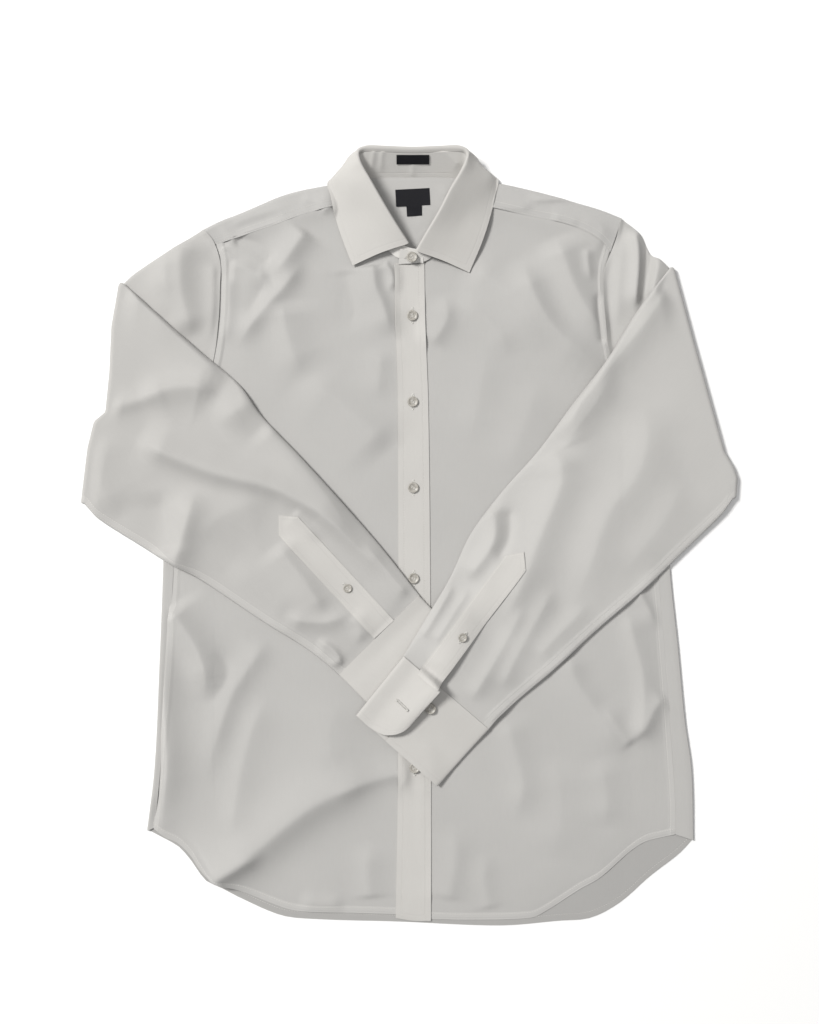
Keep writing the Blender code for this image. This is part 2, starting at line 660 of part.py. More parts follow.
def make_sleeve(form, material):
    upper, lower = through(*form.upper_edge), through(*form.lower_edge)
    fold_start, fold_end = upper(0), lower(0)
    outward = (fold_end - fold_start).cross(Vector((0, 0, 1))).normalized()
    if outward.x * fold_start.x < 0:
        outward.negate()

    def fold_at(w):
        return fold_start.lerp(fold_end, w) + outward * between(form.fold_bow, w)

    armhole = beside(form.armhole, form.seam_side * ARMHOLE_SEAM)
    arm = patch(
        top=through(armhole[0], *form.over_arm, fold_start[:2]),
        bottom=through(armhole[-1], fold_end[:2]),
        first=through(*armhole), last=fold_at,
    )

    def arm_spot(t):
        """On the surface, between the armhole (t = 0) and the fold (t = 1)."""
        def spot(w, share, inset):
            plan = arm(t, w)
            thick = SLEEVE_LAYERS + relief(plan.x, plan.y, form.arm_folds)
            plan.z = inset + share * (thick - 2 * inset)
            return plan

        return spot

    def turn_spot(angle):
        """Round the fold, from underneath (0) to on top (180)."""
        turn = math.radians(angle)

        def spot(w, share, inset):
            depth = inset + share * (SLEEVE_LAYERS - 2 * inset)
            radius = SLEEVE_FOLD - depth
            plan = fold_at(w) + outward * radius * math.sin(turn)
            plan.z = SLEEVE_FOLD - radius * math.cos(turn)
            return plan

        return spot

    def arm_top(x, y):
        """How high the upper arm stands, near a place."""
        near = ((0, 0), (15, 0), (-15, 0), (0, 15), (0, -15))
        lifts = [relief(x + dx, y + dy, form.arm_folds) for dx, dy in near]
        return SLEEVE_LAYERS + max(lifts)

    def forearm_spot(t):
        """Lying on what is underneath, from the fold (t = 0) to the cuff (t = 1)."""
        stiff = stiff_rest(lambda w: upper(t).lerp(lower(t), w))
        stiffness = ease((t - 0.55) / 0.3)

        def spot(w, share, inset):
            plan = upper(t).lerp(lower(t), w)
            plan += outward * between(form.fold_bow, w) * max(0.0, 1 - t / 0.12)
            spring = 2 * SLEEVE_FOLD - SLEEVE_LAYERS
            under = PILE.top(plan.x, plan.y, SLEEVE_REACH)
            rest = max(under, arm_top(plan.x, plan.y)) + GAP
            rest += (stiff(w) - rest) * stiffness
            bottom = spring + (rest - spring) * ease(t / 0.16)
            bottom = max(bottom, rest)
            crown = SLEEVE_CROWN * 4 * w * (1 - w) * ease(t / 0.2) * ease((1 - t) / 0.15)
            folds = relief(plan.x, plan.y, form.forearm_folds) * ease(t / 0.1)
            thick = SLEEVE_LAYERS + crown + folds
            plan.z = bottom + thick - inset - share * (thick - 2 * inset)
            return plan

        return spot

    spots = [arm_spot(t) for t in (0.0, 0.35, 0.7, 1.0)]
    spots += [turn_spot(angle) for angle in (45, 90, 135, 180)]
    spots += [forearm_spot(t) for t in FOREARM_ROWS]
    outer, inner = [], []
    for spot in spots:
        width = (spot(1.0, 0.0, 0.0) - spot(0.0, 0.0, 0.0)).length
        outer.append(loop(spot, width, SLEEVE_LAYERS, SLEEVE_COLUMNS, 0.0))
        inner.append(loop(spot, width, SLEEVE_LAYERS, SLEEVE_COLUMNS, CLOTH))
    return tube(form.name, outer, inner, material)


def cuff_plan(cuff):
    seam_a, seam_b = Vector((*cuff.seam_a, 0)), Vector((*cuff.seam_b, 0))
    end_a, end_b = Vector((*cuff.end_a, 0)), Vector((*cuff.end_b, 0))

    def at(w, t):
        return seam_a.lerp(seam_b, w).lerp(end_a.lerp(end_b, w), t)

    return at


def make_cuff_right(material):
    """A closed cuff: a flattened tube."""
    plan = cuff_plan(CUFF_RIGHT)

    def spot_at(t):
        rest = stiff_rest(lambda w: plan(w, t))

        def spot(w, share, inset):
            place = plan(w, t)
            place.z = rest(w) + CUFF_LAYERS - inset - share * (CUFF_LAYERS - 2 * inset)
            return place

        return spot

    width = (plan(1, 0) - plan(0, 0)).length
    columns = [i / 8 for i in range(9)]
    outer = [loop(spot_at(t / 5), width, CUFF_LAYERS, columns, 0.0) for t in range(6)]
    inner = [loop(spot_at(t / 5), width, CUFF_LAYERS, columns, BAND) for t in range(6)]
    return tube("cuff_right", outer, inner, material)


def make_cuff_left(material):
    """An open cuff: one band in a flattened coil, with its buttonhole end on top and rounded."""
    plan = cuff_plan(CUFF_LEFT)
    under_end, over_end = CUFF_OVERLAP
    width = (plan(1, 0) - plan(0, 0)).length
    low, high = CUFF_UNDER, CUFF_OVER

    def path(t):
        """One line of places along the band, from its lower end round to its upper end."""
        rest = stiff_rest(lambda w: plan(w, t))
        places = []

        def put(w, height):
            place = plan(w, t)
            place.z = rest(w) + height
            places.append(place)

        for i in range(6):
            put(under_end + (1 - low / width - under_end) * i / 5, low)
        put(1 - 0.1 * low / width, low * 0.78)
        put(1.0, low / 2)
        put(1 - 0.1 * low / width, low * 0.22)
        for i in range(8):
            put(1 - low / 2 / width - (1 - (low + high) / 2 / width) * i / 7, 0.0)
        put(0.1 * high / width, high * 0.2)
        put(0.0, high / 2)
        put(0.1 * high / width, high * 0.8)
        for share in (0.0, 0.34, 0.66, 0.8, 0.91, 0.98, 1.0):
            w = high / 2 / width + (over_end - high / 2 / width) * share
            corner = max(0.0, CUFF_CORNER - (over_end - w) * width) / CUFF_CORNER
            short = CUFF_CORNER * (1 - math.sqrt(max(0.0, 1 - corner**2)))
            depth = (plan(w, 1) - plan(w, 0)).length
            place = plan(w, t * (1 - short / depth))
            place.z = rest(w) + high
            places.append(place)
        return places

    return sheet("cuff_left", [path(t / 6) for t in range(7)], BAND, 1, material)


def make_gauntlet(strip, material):
    """The pointed placket strip on a sleeve, from the cuff seam to its tip."""
    foot, tip = Vector((*strip.foot, 0)), Vector((*strip.tip, 0))
    along = (tip - foot).normalized()
    side = Vector((along.y, -along.x, 0))
    length = (tip - foot).length
    point = strip.width / 2 * GAUNTLET_POINT

    def plan(u, v):
        """u across, v from the tip down to the foot."""
        top = length - point * abs(2 * u - 1)
        return foot + along * top * (1 - v) + side * (u - 0.5) * strip.width

    return sheet(strip.name, rows_of(lying(plan, reach=7.0), 2, 12), BAND, 1, material)


# ---- buttons and labels -----------------------------------------------------------------------
def make_button(name, x, y, radius, material):
    """A round button with a raised rim, laid on the pile."""
    bm = bmesh.new()
    bmesh.ops.create_circle(bm, cap_ends=True, segments=16, radius=radius * MM)
    disc = bm.faces[:]
    raised = bmesh.ops.extrude_face_region(bm, geom=disc)["geom"]
    bmesh.ops.translate(
        bm, vec=Vector((0, 0, BUTTON_HEIGHT * MM)),
        verts=[g for g in raised if isinstance(g, bmesh.types.BMVert)],
    )
    top = [g for g in raised if isinstance(g, bmesh.types.BMFace)]
    bmesh.ops.inset_region(bm, faces=top, thickness=BUTTON_RIM * MM)
    bmesh.ops.translate(bm, vec=Vector((0, 0, -BUTTON_DISH * MM)), verts=top[0].verts)
    bmesh.ops.recalc_face_normals(bm, faces=bm.faces)
    height = PILE.top(x, y, radius + BUTTON_REACH) + GAP
    bmesh.ops.translate(bm, vec=world(Vector((x, y, height))), verts=bm.verts)
    return new_object(name, bm, material)


def make_label(label, material):
    turn = math.radians(label.turn)
    right = Vector((math.cos(turn), math.sin(turn), 0))
    up = Vector((-math.sin(turn), math.cos(turn), 0))
    centre = Vector((label.x, label.y, 0))

    def plan(u, v):
        return centre + right * (u - 0.5) * label.width + up * (0.5 - v) * label.depth

    return sheet(label.name, rows_of(lying(plan, reach=3.0), 3, 2), LABEL_WALL, 1, material)


def make_band_label(frame, material):
    """The small label on the inside of the band, at the middle of the back."""
    width, depth = BAND_LABEL
    across = Vector((1, 0, 0))
    up = (band_top(frame) - frame.neck).normalized()
    middle = frame.neck.lerp(band_top(frame), 0.58) + across.cross(up) * GAP

    def plan(u, v):
        return middle + across * (u - 0.5) * width + up * (0.5 - v) * depth

    return sheet("label_fit", rows_of(plan, 3, 1), LABEL_WALL, 1, material)


def main():
    clean_scene()
    shirting = finish_material("shirting", WHITE, 0.9)
    fused = finish_material("fused shirting", WHITE, 0.85)
    woven = finish_material("woven label", BLACK, 0.8)
    pearl = finish_material("button", PEARL, 0.3)

    PILE.add(make_back(shirting))
    PILE.add(make_yoke(shirting))
    PILE.add(*make_fronts(shirting))
    PILE.add(make_placket(fused))
    for number, y in enumerate(FRONT_BUTTONS, start=1):
        x = FRONT_BUTTON_X + FRONT_BUTTON_DRIFT * number
        PILE.add(make_button(f"button_front_{number}", x, y, BUTTON_RADIUS, pearl))
    for label in LABELS:
        PILE.add(make_label(label, woven))
    make_collar(fused, woven, pearl)

    arms = (
        (SLEEVE_RIGHT, make_cuff_right, GAUNTLET_RIGHT, "button_cuff_right", CUFF_BUTTON_RIGHT),
        (SLEEVE_LEFT, make_cuff_left, GAUNTLET_LEFT, "button_cuff_left", CUFF_BUTTON_LEFT),
    )
    for sleeve, make_cuff, strip, cuff_button, spot in arms:
        PILE.add(make_sleeve(sleeve, shirting), make_cuff(fused))
        PILE.add(make_gauntlet(strip, fused))
        small = strip.name.replace("gauntlet", "button_gauntlet")
        PILE.add(make_button(small, *strip.button, SMALL_BUTTON_RADIUS, pearl))
        PILE.add(make_button(cuff_button, *spot, BUTTON_RADIUS, pearl))


main()
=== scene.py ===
# %% [markdown]
# # A long sleeve dress shirt, laid flat
# A dress shirt is a handful of flat cotton panels sewn into tubes. Laid on its back with its
# sleeves folded in, it is a low pile of cloth: back, fronts, collar, then one sleeve over the
# other. The script makes the pieces in that order, and each one rests on what lies under it.
# First the imported solids are loaded, as the frame that every piece has to fit.

# %% Load the frame
import json
import math
from collections import namedtuple

import bmesh
import bpy
import numpy as np
from mathutils import Matrix, Vector

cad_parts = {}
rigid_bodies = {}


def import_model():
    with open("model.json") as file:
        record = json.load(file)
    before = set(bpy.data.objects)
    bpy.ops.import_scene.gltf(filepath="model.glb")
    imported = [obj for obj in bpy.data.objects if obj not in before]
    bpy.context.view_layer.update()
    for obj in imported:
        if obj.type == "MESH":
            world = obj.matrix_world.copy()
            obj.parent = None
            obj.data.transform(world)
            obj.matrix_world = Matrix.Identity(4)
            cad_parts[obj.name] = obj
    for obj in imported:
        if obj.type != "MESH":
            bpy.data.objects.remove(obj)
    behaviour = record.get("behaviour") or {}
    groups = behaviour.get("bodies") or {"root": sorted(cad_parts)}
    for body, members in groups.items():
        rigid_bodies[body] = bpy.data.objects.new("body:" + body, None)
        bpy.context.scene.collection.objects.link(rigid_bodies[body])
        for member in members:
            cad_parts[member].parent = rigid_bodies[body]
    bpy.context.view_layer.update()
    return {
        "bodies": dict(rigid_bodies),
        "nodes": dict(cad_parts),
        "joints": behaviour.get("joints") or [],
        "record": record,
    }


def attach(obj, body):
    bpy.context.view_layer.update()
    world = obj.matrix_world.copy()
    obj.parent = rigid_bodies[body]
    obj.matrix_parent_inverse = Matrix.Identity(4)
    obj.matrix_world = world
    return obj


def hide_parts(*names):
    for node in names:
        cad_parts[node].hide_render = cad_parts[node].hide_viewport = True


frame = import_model()

# %% [markdown]
# ## Units
# The outlines are drafted in millimetres about a point near the middle of the front, as a pattern
# cutter would, and moved into the frame's metres when a mesh is made.

# %% Drafting units
MM = 0.001
CENTRE = np.array((-0.2, 4.45, 0.0))


def in_metres(places):
    return (np.asarray(places, float) + CENTRE) * MM


def ease(share):
    """0 to 1 with a soft start and end."""
    share = np.clip(share, 0.0, 1.0)
    return share * share * (3 - 2 * share)


print("the draft's origin lies at", in_metres((0, 0, 0)))

# %% [markdown]
# ## Curves and panels
# Pattern outlines are smooth curves through a few measured points. One spline routine serves both
# a single outline and a whole net of points, and a panel is the surface stretched between four
# outlines (a Coons patch), which is how the cut edges of a shirt panel define it.


# %% Smooth curves through points
def smooth_along(net, shares, reach=None):
    """The net of points resampled along its first axis at the shares of its mean length."""
    net = np.asarray(net, float)
    if reach is None:
        steps = np.linalg.norm(np.diff(net, axis=0), axis=-1)
        reach = np.concatenate([[0.0], np.cumsum(steps.reshape(len(steps), -1).mean(axis=1))])
    lower = np.maximum(np.arange(len(net)) - 1, 0)
    upper = np.minimum(np.arange(len(net)) + 1, len(net) - 1)
    widen = (slice(None),) + (None,) * (net.ndim - 1)
    slopes = (net[upper] - net[lower]) / (reach[upper] - reach[lower])[widen]
    distance = np.clip(shares, 0.0, 1.0) * reach[-1]
    i = np.clip(np.searchsorted(reach, distance, side="right") - 1, 0, len(net) - 2)
    span = reach[i + 1] - reach[i]
    s = (distance - reach[i]) / span
    s, span = (part.reshape(part.shape + (1,) * (net.ndim - 1)) for part in (s, span))
    return (
        net[i] * (2 * s**3 - 3 * s**2 + 1) + net[i + 1] * (3 * s**2 - 2 * s**3)
        + slopes[i] * span * (s**3 - 2 * s**2 + s) + slopes[i + 1] * span * (s**3 - s**2)
    )


def through(*points):
    """A smooth curve through the points, as a function of 0 to 1 along its length."""
    knots = np.array([tuple(p) + (0.0,) * (3 - len(p)) for p in points], float)
    return lambda share: smooth_along(knots, np.asarray(share, float))


def fine_net(net, rows, columns):
    """A coarse net of places made fine in both directions."""
    net = smooth_along(net, np.linspace(0, 1, rows))
    net = smooth_along(np.swapaxes(net, 0, 1), np.linspace(0, 1, columns))
    return np.swapaxes(net, 0, 1)


def panel(top, bottom, first, last):
    """The region between four edge curves, as a function of (across, down)."""
    def at(u, v):
        a, d = u[..., None], v[..., None]
        edges = top(u) * (1 - d) + bottom(u) * d + first(v) * (1 - a) + last(v) * a
        corners = (
            (top(0.0) * (1 - a) + top(1.0) * a) * (1 - d)
            + (bottom(0.0) * (1 - a) + bottom(1.0) * a) * d
        )
        return edges - corners

    return at


def spread(columns, rows):
    """Shares across and down for a grid that is drafted from the top and faces up."""
    return np.meshgrid(np.linspace(0, 1, columns), np.linspace(1, 0, rows))


print("a curve's middle:", through((0, 0), (10, 5), (20, 0))(0.5))

# %% [markdown]
# ## Creases
# Cloth that was folded and put down by hand keeps soft ridges and troughs. Each one is drafted as
# a line with a height and two flank widths, because a real crease is steeper on one side. A crease
# dies away at its ends, unless it runs into a seam. No two have the same length, depth or spacing.

# %% Lift a surface along its creases
Crease = namedtuple("Crease", "height left right path fade", defaults=[(0.3, 0.3)])
CREASE_STEPS = 14
CREASE_SHAPE = 1.5       # how round a crest is: 2 is a bell, 1 is a knife edge
CREASE_REACH = 2.4       # flank widths past which a crease has died away


def crease_table(*rows):
    """Creases from rows of height, left flank, right flank, path and the shares that fade."""
    return tuple(Crease(*row) for row in rows)


def lift(x, y, creases):
    total = np.zeros_like(x)
    for crease in creases:
        line = through(*crease.path)(np.linspace(0, 1, CREASE_STEPS + 1))[:, :2]
        margin = CREASE_REACH * max(crease.left, crease.right)
        low, high = line.min(axis=0) - margin, line.max(axis=0) + margin
        near = (x > low[0]) & (x < high[0]) & (y > low[1]) & (y < high[1])
        px, py = x[near], y[near]
        nearest = np.full(px.shape, 1e9)
        where, on_left = np.zeros_like(px), np.zeros_like(px)
        for k, (a, b) in enumerate(zip(line, line[1:])):
            along = b - a
            s = ((px - a[0]) * along[0] + (py - a[1]) * along[1]) / along.dot(along)
            s = np.clip(s, 0, 1)
            away = np.hypot(px - a[0] - along[0] * s, py - a[1] - along[1] * s)
            closer = away < nearest
            nearest = np.where(closer, away, nearest)
            where = np.where(closer, (k + s) / CREASE_STEPS, where)
            turned = along[0] * (py - a[1]) - along[1] * (px - a[0])
            on_left = np.where(closer, turned, on_left)
        flank = np.where(on_left > 0, crease.left, crease.right)
        profile = np.exp(-((nearest / flank) ** CREASE_SHAPE))
        start, end = (max(f, 1e-6) for f in crease.fade)
        total[near] += crease.height * profile * ease(where / start) * ease((1 - where) / end)
    return total


def ripple(x, y, height, length, seed):
    """A faint uneven swell, for the slack that no crease accounts for."""
    draw = np.random.default_rng(seed)
    total = np.zeros_like(x)
    for _ in range(7):
        turn, phase = draw.uniform(0, math.pi), draw.uniform(0, 2 * math.pi)
        wave = 2 * math.pi / (length * draw.uniform(0.6, 1.6))
        total += np.sin((x * math.cos(turn) + y * math.sin(turn)) * wave + phase)
    return height * total / 7


SAMPLE = crease_table((3, 9, 9, ((-50, 0), (50, 0))))
print("crest of a 3 mm crease:", lift(np.zeros(1), np.zeros(1), SAMPLE))

# %% [markdown]
# ## The pile
# What lies on top follows what lies below. A height map over the table, with one cell for each
# millimetre and a half, records the top of everything laid so far. A new piece reads it widened
# and smoothed, by more for stiff cloth than for limp, as a real layer bridges small steps.

# %% A height map of what has been laid down
CELL = 1.5
MAP_CORNER = np.array((-372.0, -438.0))
HEIGHTS = np.zeros((580, 497))


def resample_straight(grid, factor):
    """The grid with straight steps added between its places."""
    for axis in (0, 1):
        count = grid.shape[axis]
        at = np.linspace(0, count - 1, (count - 1) * factor + 1)
        low = np.minimum(at.astype(int), count - 2)
        part = at - low
        part = part[:, None, None] if axis == 0 else part[None, :, None]
        grid = np.take(grid, low, axis) * (1 - part) + np.take(grid, low + 1, axis) * part
    return grid


def lay(grid, wall=0.0):
    """Adds a piece's top surface to the pile."""
    steps = max(np.linalg.norm(np.diff(grid, axis=a), axis=-1).max() for a in (0, 1))
    dense = resample_straight(grid, max(1, math.ceil(steps / CELL)))
    cells = np.rint((dense[..., :2] - MAP_CORNER) / CELL).astype(int)
    np.maximum.at(HEIGHTS, (cells[..., 1], cells[..., 0]), dense[..., 2] + wall)


def pile_top(reach, soften):
    """The pile's height as a function of place, widened by reach and smoothed."""
    wide = HEIGHTS
    for axis in (0, 1):
        steps = range(-round(reach / CELL), round(reach / CELL) + 1)
        wide = np.max([np.roll(wide, step, axis) for step in steps], axis=0)
    if soften:
        count = math.ceil(2 * soften / CELL)
        weights = np.exp(-((np.arange(-count, count + 1) * CELL / soften) ** 2))
        weights /= weights.sum()
        for axis in (0, 1):
            wide = sum(w * np.roll(wide, i - count, axis) for i, w in enumerate(weights))

    def at(x, y):
        gx, gy = (x - MAP_CORNER[0]) / CELL, (y - MAP_CORNER[1]) / CELL
        gx = np.clip(gx, 0, wide.shape[1] - 1.001)
        gy = np.clip(gy, 0, wide.shape[0] - 1.001)
        i, j = np.floor(gx).astype(int), np.floor(gy).astype(int)
        s, t = gx - i, gy - j
        return (
            wide[j, i] * (1 - s) * (1 - t) + wide[j, i + 1] * s * (1 - t)
            + wide[j + 1, i] * (1 - s) * t + wide[j + 1, i + 1] * s * t
        )

    return at


print("height map cells:", HEIGHTS.size)

# %% [markdown]
# ## From places to cloth
# A sheet starts as a plain grid whose points are moved to their places. Its UV map is measured in
# metres along the cloth, so a weave has the same size on every piece, and a "rim" attribute holds
# the distance to the nearest sewn edge, which lets the finish sink a stitched groove along it.
# A Solidify modifier gives the wall. That is quicker and more even than sculpting a thick mesh.


# %% Show a mesh as a piece of the part
def placed(name, data):
    obj = bpy.data.objects.new(name, data)
    bpy.context.scene.collection.objects.link(obj)
    return obj


def mesh_from(bm, name):
    mesh = bpy.data.meshes.new(name)
    bm.to_mesh(mesh)
    bm.free()
    return mesh


def piece(mesh, finish, slot, *nodes):
    """The mesh as an object on the body, standing for the solids named as nodes."""
    mesh.materials.append(finish)
    mesh.shade_smooth()
    obj = placed(mesh.name, mesh)
    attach(obj, "root")
    if nodes:
        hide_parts(*nodes)
    return obj


# %% Make a sheet of cloth from a grid of places
NO_SEAM = 99.0           # the distance to a seam where there is none
WELD = 1e-6


def run_lengths(grid, axis):
    """How far along the cloth each place of the grid lies, along one axis."""
    steps = np.linalg.norm(np.diff(grid, axis=axis), axis=-1)
    start = np.zeros_like(np.take(steps, [0], axis))
    return np.cumsum(np.concatenate([start, steps], axis), axis)


def edge_distances(grid):
    """Distances from the first and last column and the first and last row, in millimetres."""
    across, along = run_lengths(grid, 1), run_lengths(grid, 0)
    return {
        "first": across, "last": across[:, -1:] - across,
        "low": along, "high": along[-1:] - along,
    }


def weld(mesh):
    bm = bmesh.new()
    bm.from_mesh(mesh)
    bmesh.ops.remove_doubles(bm, verts=bm.verts, dist=WELD)
    bmesh.ops.recalc_face_normals(bm, faces=bm.faces)
    bm.to_mesh(mesh)
    bm.free()


def cloth(
    name, grid, wall, finish, slot, sewn=(), side=-1, face=0.0, straight=False, closed=False,
    rims=None, replaced=True,
):
    """A sheet on the grid. side is where its wall goes: 1 on the faces' side, -1 behind them.
    face is how far its upper side stands off the grid, or None where nothing is laid on it.
    A straight sheet's weave follows the drafting axes, and any other's follows its own edges."""
    if face is not None:
        lay(grid, face)
    rows, columns = grid.shape[:2]
    bm = bmesh.new()
    bm.loops.layers.uv.new("cloth")
    bmesh.ops.create_grid(bm, x_segments=columns - 1, y_segments=rows - 1, size=0.5)
    for edge in bm.edges:
        edge.smooth = not edge.is_boundary
    mesh = mesh_from(bm, name + "_cloth")
    spots = np.empty(len(mesh.vertices) * 3)
    mesh.vertices.foreach_get("co", spots)
    share = spots.reshape(-1, 3)[:, :2] + 0.5
    i, j = np.rint(share * (columns - 1, rows - 1)).astype(int).T
    mesh.vertices.foreach_set("co", in_metres(grid[j, i]).ravel())
    edges = edge_distances(grid)
    flat = grid[..., :2] if straight else np.stack([edges["first"], edges["low"]], axis=-1)
    corner = np.empty(len(mesh.loops), int)
    mesh.loops.foreach_get("vertex_index", corner)
    mesh.uv_layers["cloth"].data.foreach_set("uv", (flat[j, i][corner] * MM).ravel())
    if rims is None:
        rims = np.min([np.full((rows, columns), NO_SEAM)] + [edges[edge] for edge in sewn], axis=0)
    rim = mesh.attributes.new("rim", "FLOAT", "POINT")
    rim.data.foreach_set("value", rims[j, i] * MM)
    if closed:
        weld(mesh)
    obj = piece(mesh, finish, slot, *([name] if replaced else []))
    solidify = obj.modifiers.new("wall", "SOLIDIFY")
    solidify.thickness, solidify.offset = wall * MM, side
    print(f"{name}: {rows} by {columns} places")
    return obj


# %% [markdown]
# ## Finishes
# The cloth is a white cotton poplin: a plain weave so fine that it reads as a faint grain, soft
# rather than shiny, with a little fuzz that catches light at a grazing angle. Two crossed waves on
# the UV map give warp and weft, a stretched noise gives slubs, and the rim attribute gives the
# line where stitches pull the plies together, painted a little darker there as painted shade.
# Two plies look brighter than one. Some tints also carry painted light and painted shade: the
# sleeves are paler for their plies and, as painted light, because they stand up; the collar band
# is painted paler as painted light; the inside of the back and the right sleeve are painted
# darker as painted shade. So each kind of piece has its own tint of one finish.

# %% Short ways to build a finish
BAND_PERIOD = math.pi / 10   # a Wave texture's band at scale 1


class Finish:
    def __init__(self, name):
        self.material = bpy.data.materials.new(name)
        self.material.use_nodes = True
        self.tree = self.material.node_tree

    def feed(self, node, inputs):
        """Links the sockets among the inputs, and sets the values."""
        for key, value in inputs.items():
            if isinstance(value, bpy.types.NodeSocket):
                self.tree.links.new(value, node.inputs[key])
            else:
                node.inputs[key].default_value = value

    def add(self, kind, inputs, output=0, **settings):
        node = self.tree.nodes.new("ShaderNode" + kind)
        for key, value in settings.items():
            setattr(node, key, value)
        self.feed(node, inputs)
        return node.outputs[output]

    def maths(self, operation, *values):
        return self.add("Math", dict(enumerate(values)), operation=operation)

    def remap(self, value, low, high, to_low, to_high, **settings):
        span = {"From Min": low, "From Max": high, "To Min": to_low, "To Max": to_high}
        return self.add("MapRange", {"Value": value, **span}, **settings)

    def ribs(self, pitch, way, **inputs):
        """Threads side by side on the cloth, a pitch apart."""
        uv = self.add("UVMap", {}, uv_map="cloth")
        inputs = {"Vector": uv, "Scale": BAND_PERIOD / pitch, **inputs}
        return self.add("TexWave", inputs, "Fac", wave_type="BANDS", bands_direction=way)

    def cloud(self, scale, **inputs):
        """A noise that fills the piece."""
        spot = self.add("TexCoord", {}, "Object")
        return self.add("TexNoise", {"Vector": spot, "Scale": scale, **inputs})

    def ramp(self, value, *stops):
        """Colours between stops, each a place and a colour."""
        node = self.tree.nodes.new("ShaderNodeValToRGB")
        for element, (place, colour) in zip(node.color_ramp.elements, stops):
            element.position, element.color = place, (*colour, 1)
        self.feed(node, {"Fac": value})
        return node.outputs["Color"]

    def bump(self, height, strength, distance):
        return self.add("Bump", {"Height": height, "Strength": strength, "Distance": distance})

    def shade(self, inputs):
        self.feed(self.tree.nodes["Principled BSDF"], inputs)
        return self.material


# %% Build the cotton finishes
THREAD_PITCH = 0.00055
THREAD_RELIEF = 0.00009
SLUB_RELIEF = 0.00006
GROOVE_DEPTH = 0.00012
GROOVE_WIDTH = 1.1 * MM
PLY_GLOW = 1.07          # how much paler doubled cloth is
PLY_BLUR = 0.4


def cotton(name, colour, grooves, doubled=0.0, weave=1.0):
    """A poplin finish. grooves are the distances of its stitch lines from a sewn edge, and the
    cloth is paler up to the distance doubled from it, because more plies lie there."""
    finish = Finish(name)
    warp, weft = (finish.ribs(THREAD_PITCH, way, Distortion=0.6, Detail=1.0) for way in "XY")
    uv = finish.add("UVMap", {}, uv_map="cloth")
    long_way = finish.add("Mapping", {"Vector": uv, "Scale": (900.0, 60.0, 1.0)})
    slub = finish.add("TexNoise", {"Vector": long_way, "Scale": 1.0, "Detail": 3.0})
    haze = finish.cloud(9.0, Detail=3.0, Roughness=0.55)
    rim = finish.add("Attribute", {}, "Fac", attribute_name="rim", attribute_type="GEOMETRY")
    threads = finish.maths("MULTIPLY", warp, weft)
    height = finish.maths(
        "ADD", finish.maths("MULTIPLY", threads, THREAD_RELIEF * weave),
        finish.maths("MULTIPLY", slub, SLUB_RELIEF * weave),
    )
    tint = finish.maths(
        "MULTIPLY", finish.remap(slub, 0.3, 0.7, 0.988, 1.008),
        finish.remap(haze, 0.3, 0.7, 0.98, 1.02),
    )
    if doubled:
        ends = ((doubled - PLY_BLUR) * MM, (doubled + PLY_BLUR) * MM)
        tint = finish.maths("MULTIPLY", tint, finish.remap(rim, *ends, PLY_GLOW, 1.0))
    # Each stitch line sinks as a groove in the bump, and its tint is painted a little darker there:
    # painted shade.
    for groove in grooves:
        away = finish.maths("ABSOLUTE", finish.maths("SUBTRACT", rim, groove * MM))
        sunk = finish.remap(away, 0.0, GROOVE_WIDTH, 1.0, 0.0, interpolation_type="SMOOTHSTEP")
        height = finish.maths("ADD", height, finish.maths("MULTIPLY", sunk, -GROOVE_DEPTH))
        tint = finish.maths("MULTIPLY", tint, finish.remap(sunk, 0.0, 1.0, 1.0, 0.985))
    grey = finish.add("CombineColor", {"Red": tint, "Green": tint, "Blue": tint})
    tinted = finish.add(
        "Mix", {"Factor": 1.0, "A": (*colour, 1.0), "B": grey}, 2,
        data_type="RGBA", blend_type="MULTIPLY",
    )
    return finish.shade({
        "Base Color": tinted, "Normal": finish.bump(height, 0.8, 1.0), "Roughness": 0.88,
        "Specular IOR Level": 0.25, "Sheen Weight": 0.18, "Sheen Roughness": 0.55,
    })


BODY = cotton("body shirting", (0.416, 0.409, 0.397), (1.6, 7.6), doubled=7.8)
# The back's inside is the same shirting painted darker: painted shade for the shade it lies in.
INSIDE_PAINTED_SHADE = cotton("back inside painted shade", (0.35, 0.344, 0.335), (6.0,))
YOKE = cotton("yoke shirting", (0.425, 0.418, 0.407), (1.6,))
# The sleeves' tint is paler than the body's: partly for the two plies of the flattened tube, partly
# painted light because the sleeves stand up higher.
SLEEVE = cotton("left sleeve shirting", (0.452, 0.444, 0.430), (3.6, 9.0), doubled=9.4)
# The right sleeve is the left sleeve's shirting painted darker: painted shade for the weaker light
# on that side.
SLEEVE_PAINTED_SHADE = cotton("right sleeve shirting", (0.422, 0.414, 0.401), (3.6, 9.0), doubled=9.4)
FUSED = cotton("fused shirting", (0.49, 0.478, 0.458), (6.0,), weave=0.8)
# The collar band is the fused shirting painted paler: painted light on the band's inside, which
# lies in the shade of the roll.
BAND = cotton("collar band painted light", (0.60, 0.587, 0.565), (6.0,), weave=0.8)
print("cotton finishes:", [m.name for m in (BODY, INSIDE_PAINTED_SHADE, YOKE, SLEEVE, SLEEVE_PAINTED_SHADE, FUSED, BAND)])

# %% [markdown]
# The labels are dense black satin, left bare. The thread is a slightly glossy polyester. The
# buttons are pearly: a little cloudy, with a soft shine under a thin clear coat.


# %% Build the label, thread and button finishes
def satin(name):
    finish = Finish(name)
    ribs = finish.ribs(0.0007, "Y", Distortion=0.3)
    tone = finish.ramp(ribs, (0.0, (0.006, 0.006, 0.008)), (1.0, (0.016, 0.016, 0.019)))
    return finish.shade({
        "Base Color": tone, "Normal": finish.bump(ribs, 0.6, 0.0001), "Roughness": 0.75,
        "Specular IOR Level": 0.15,
    })


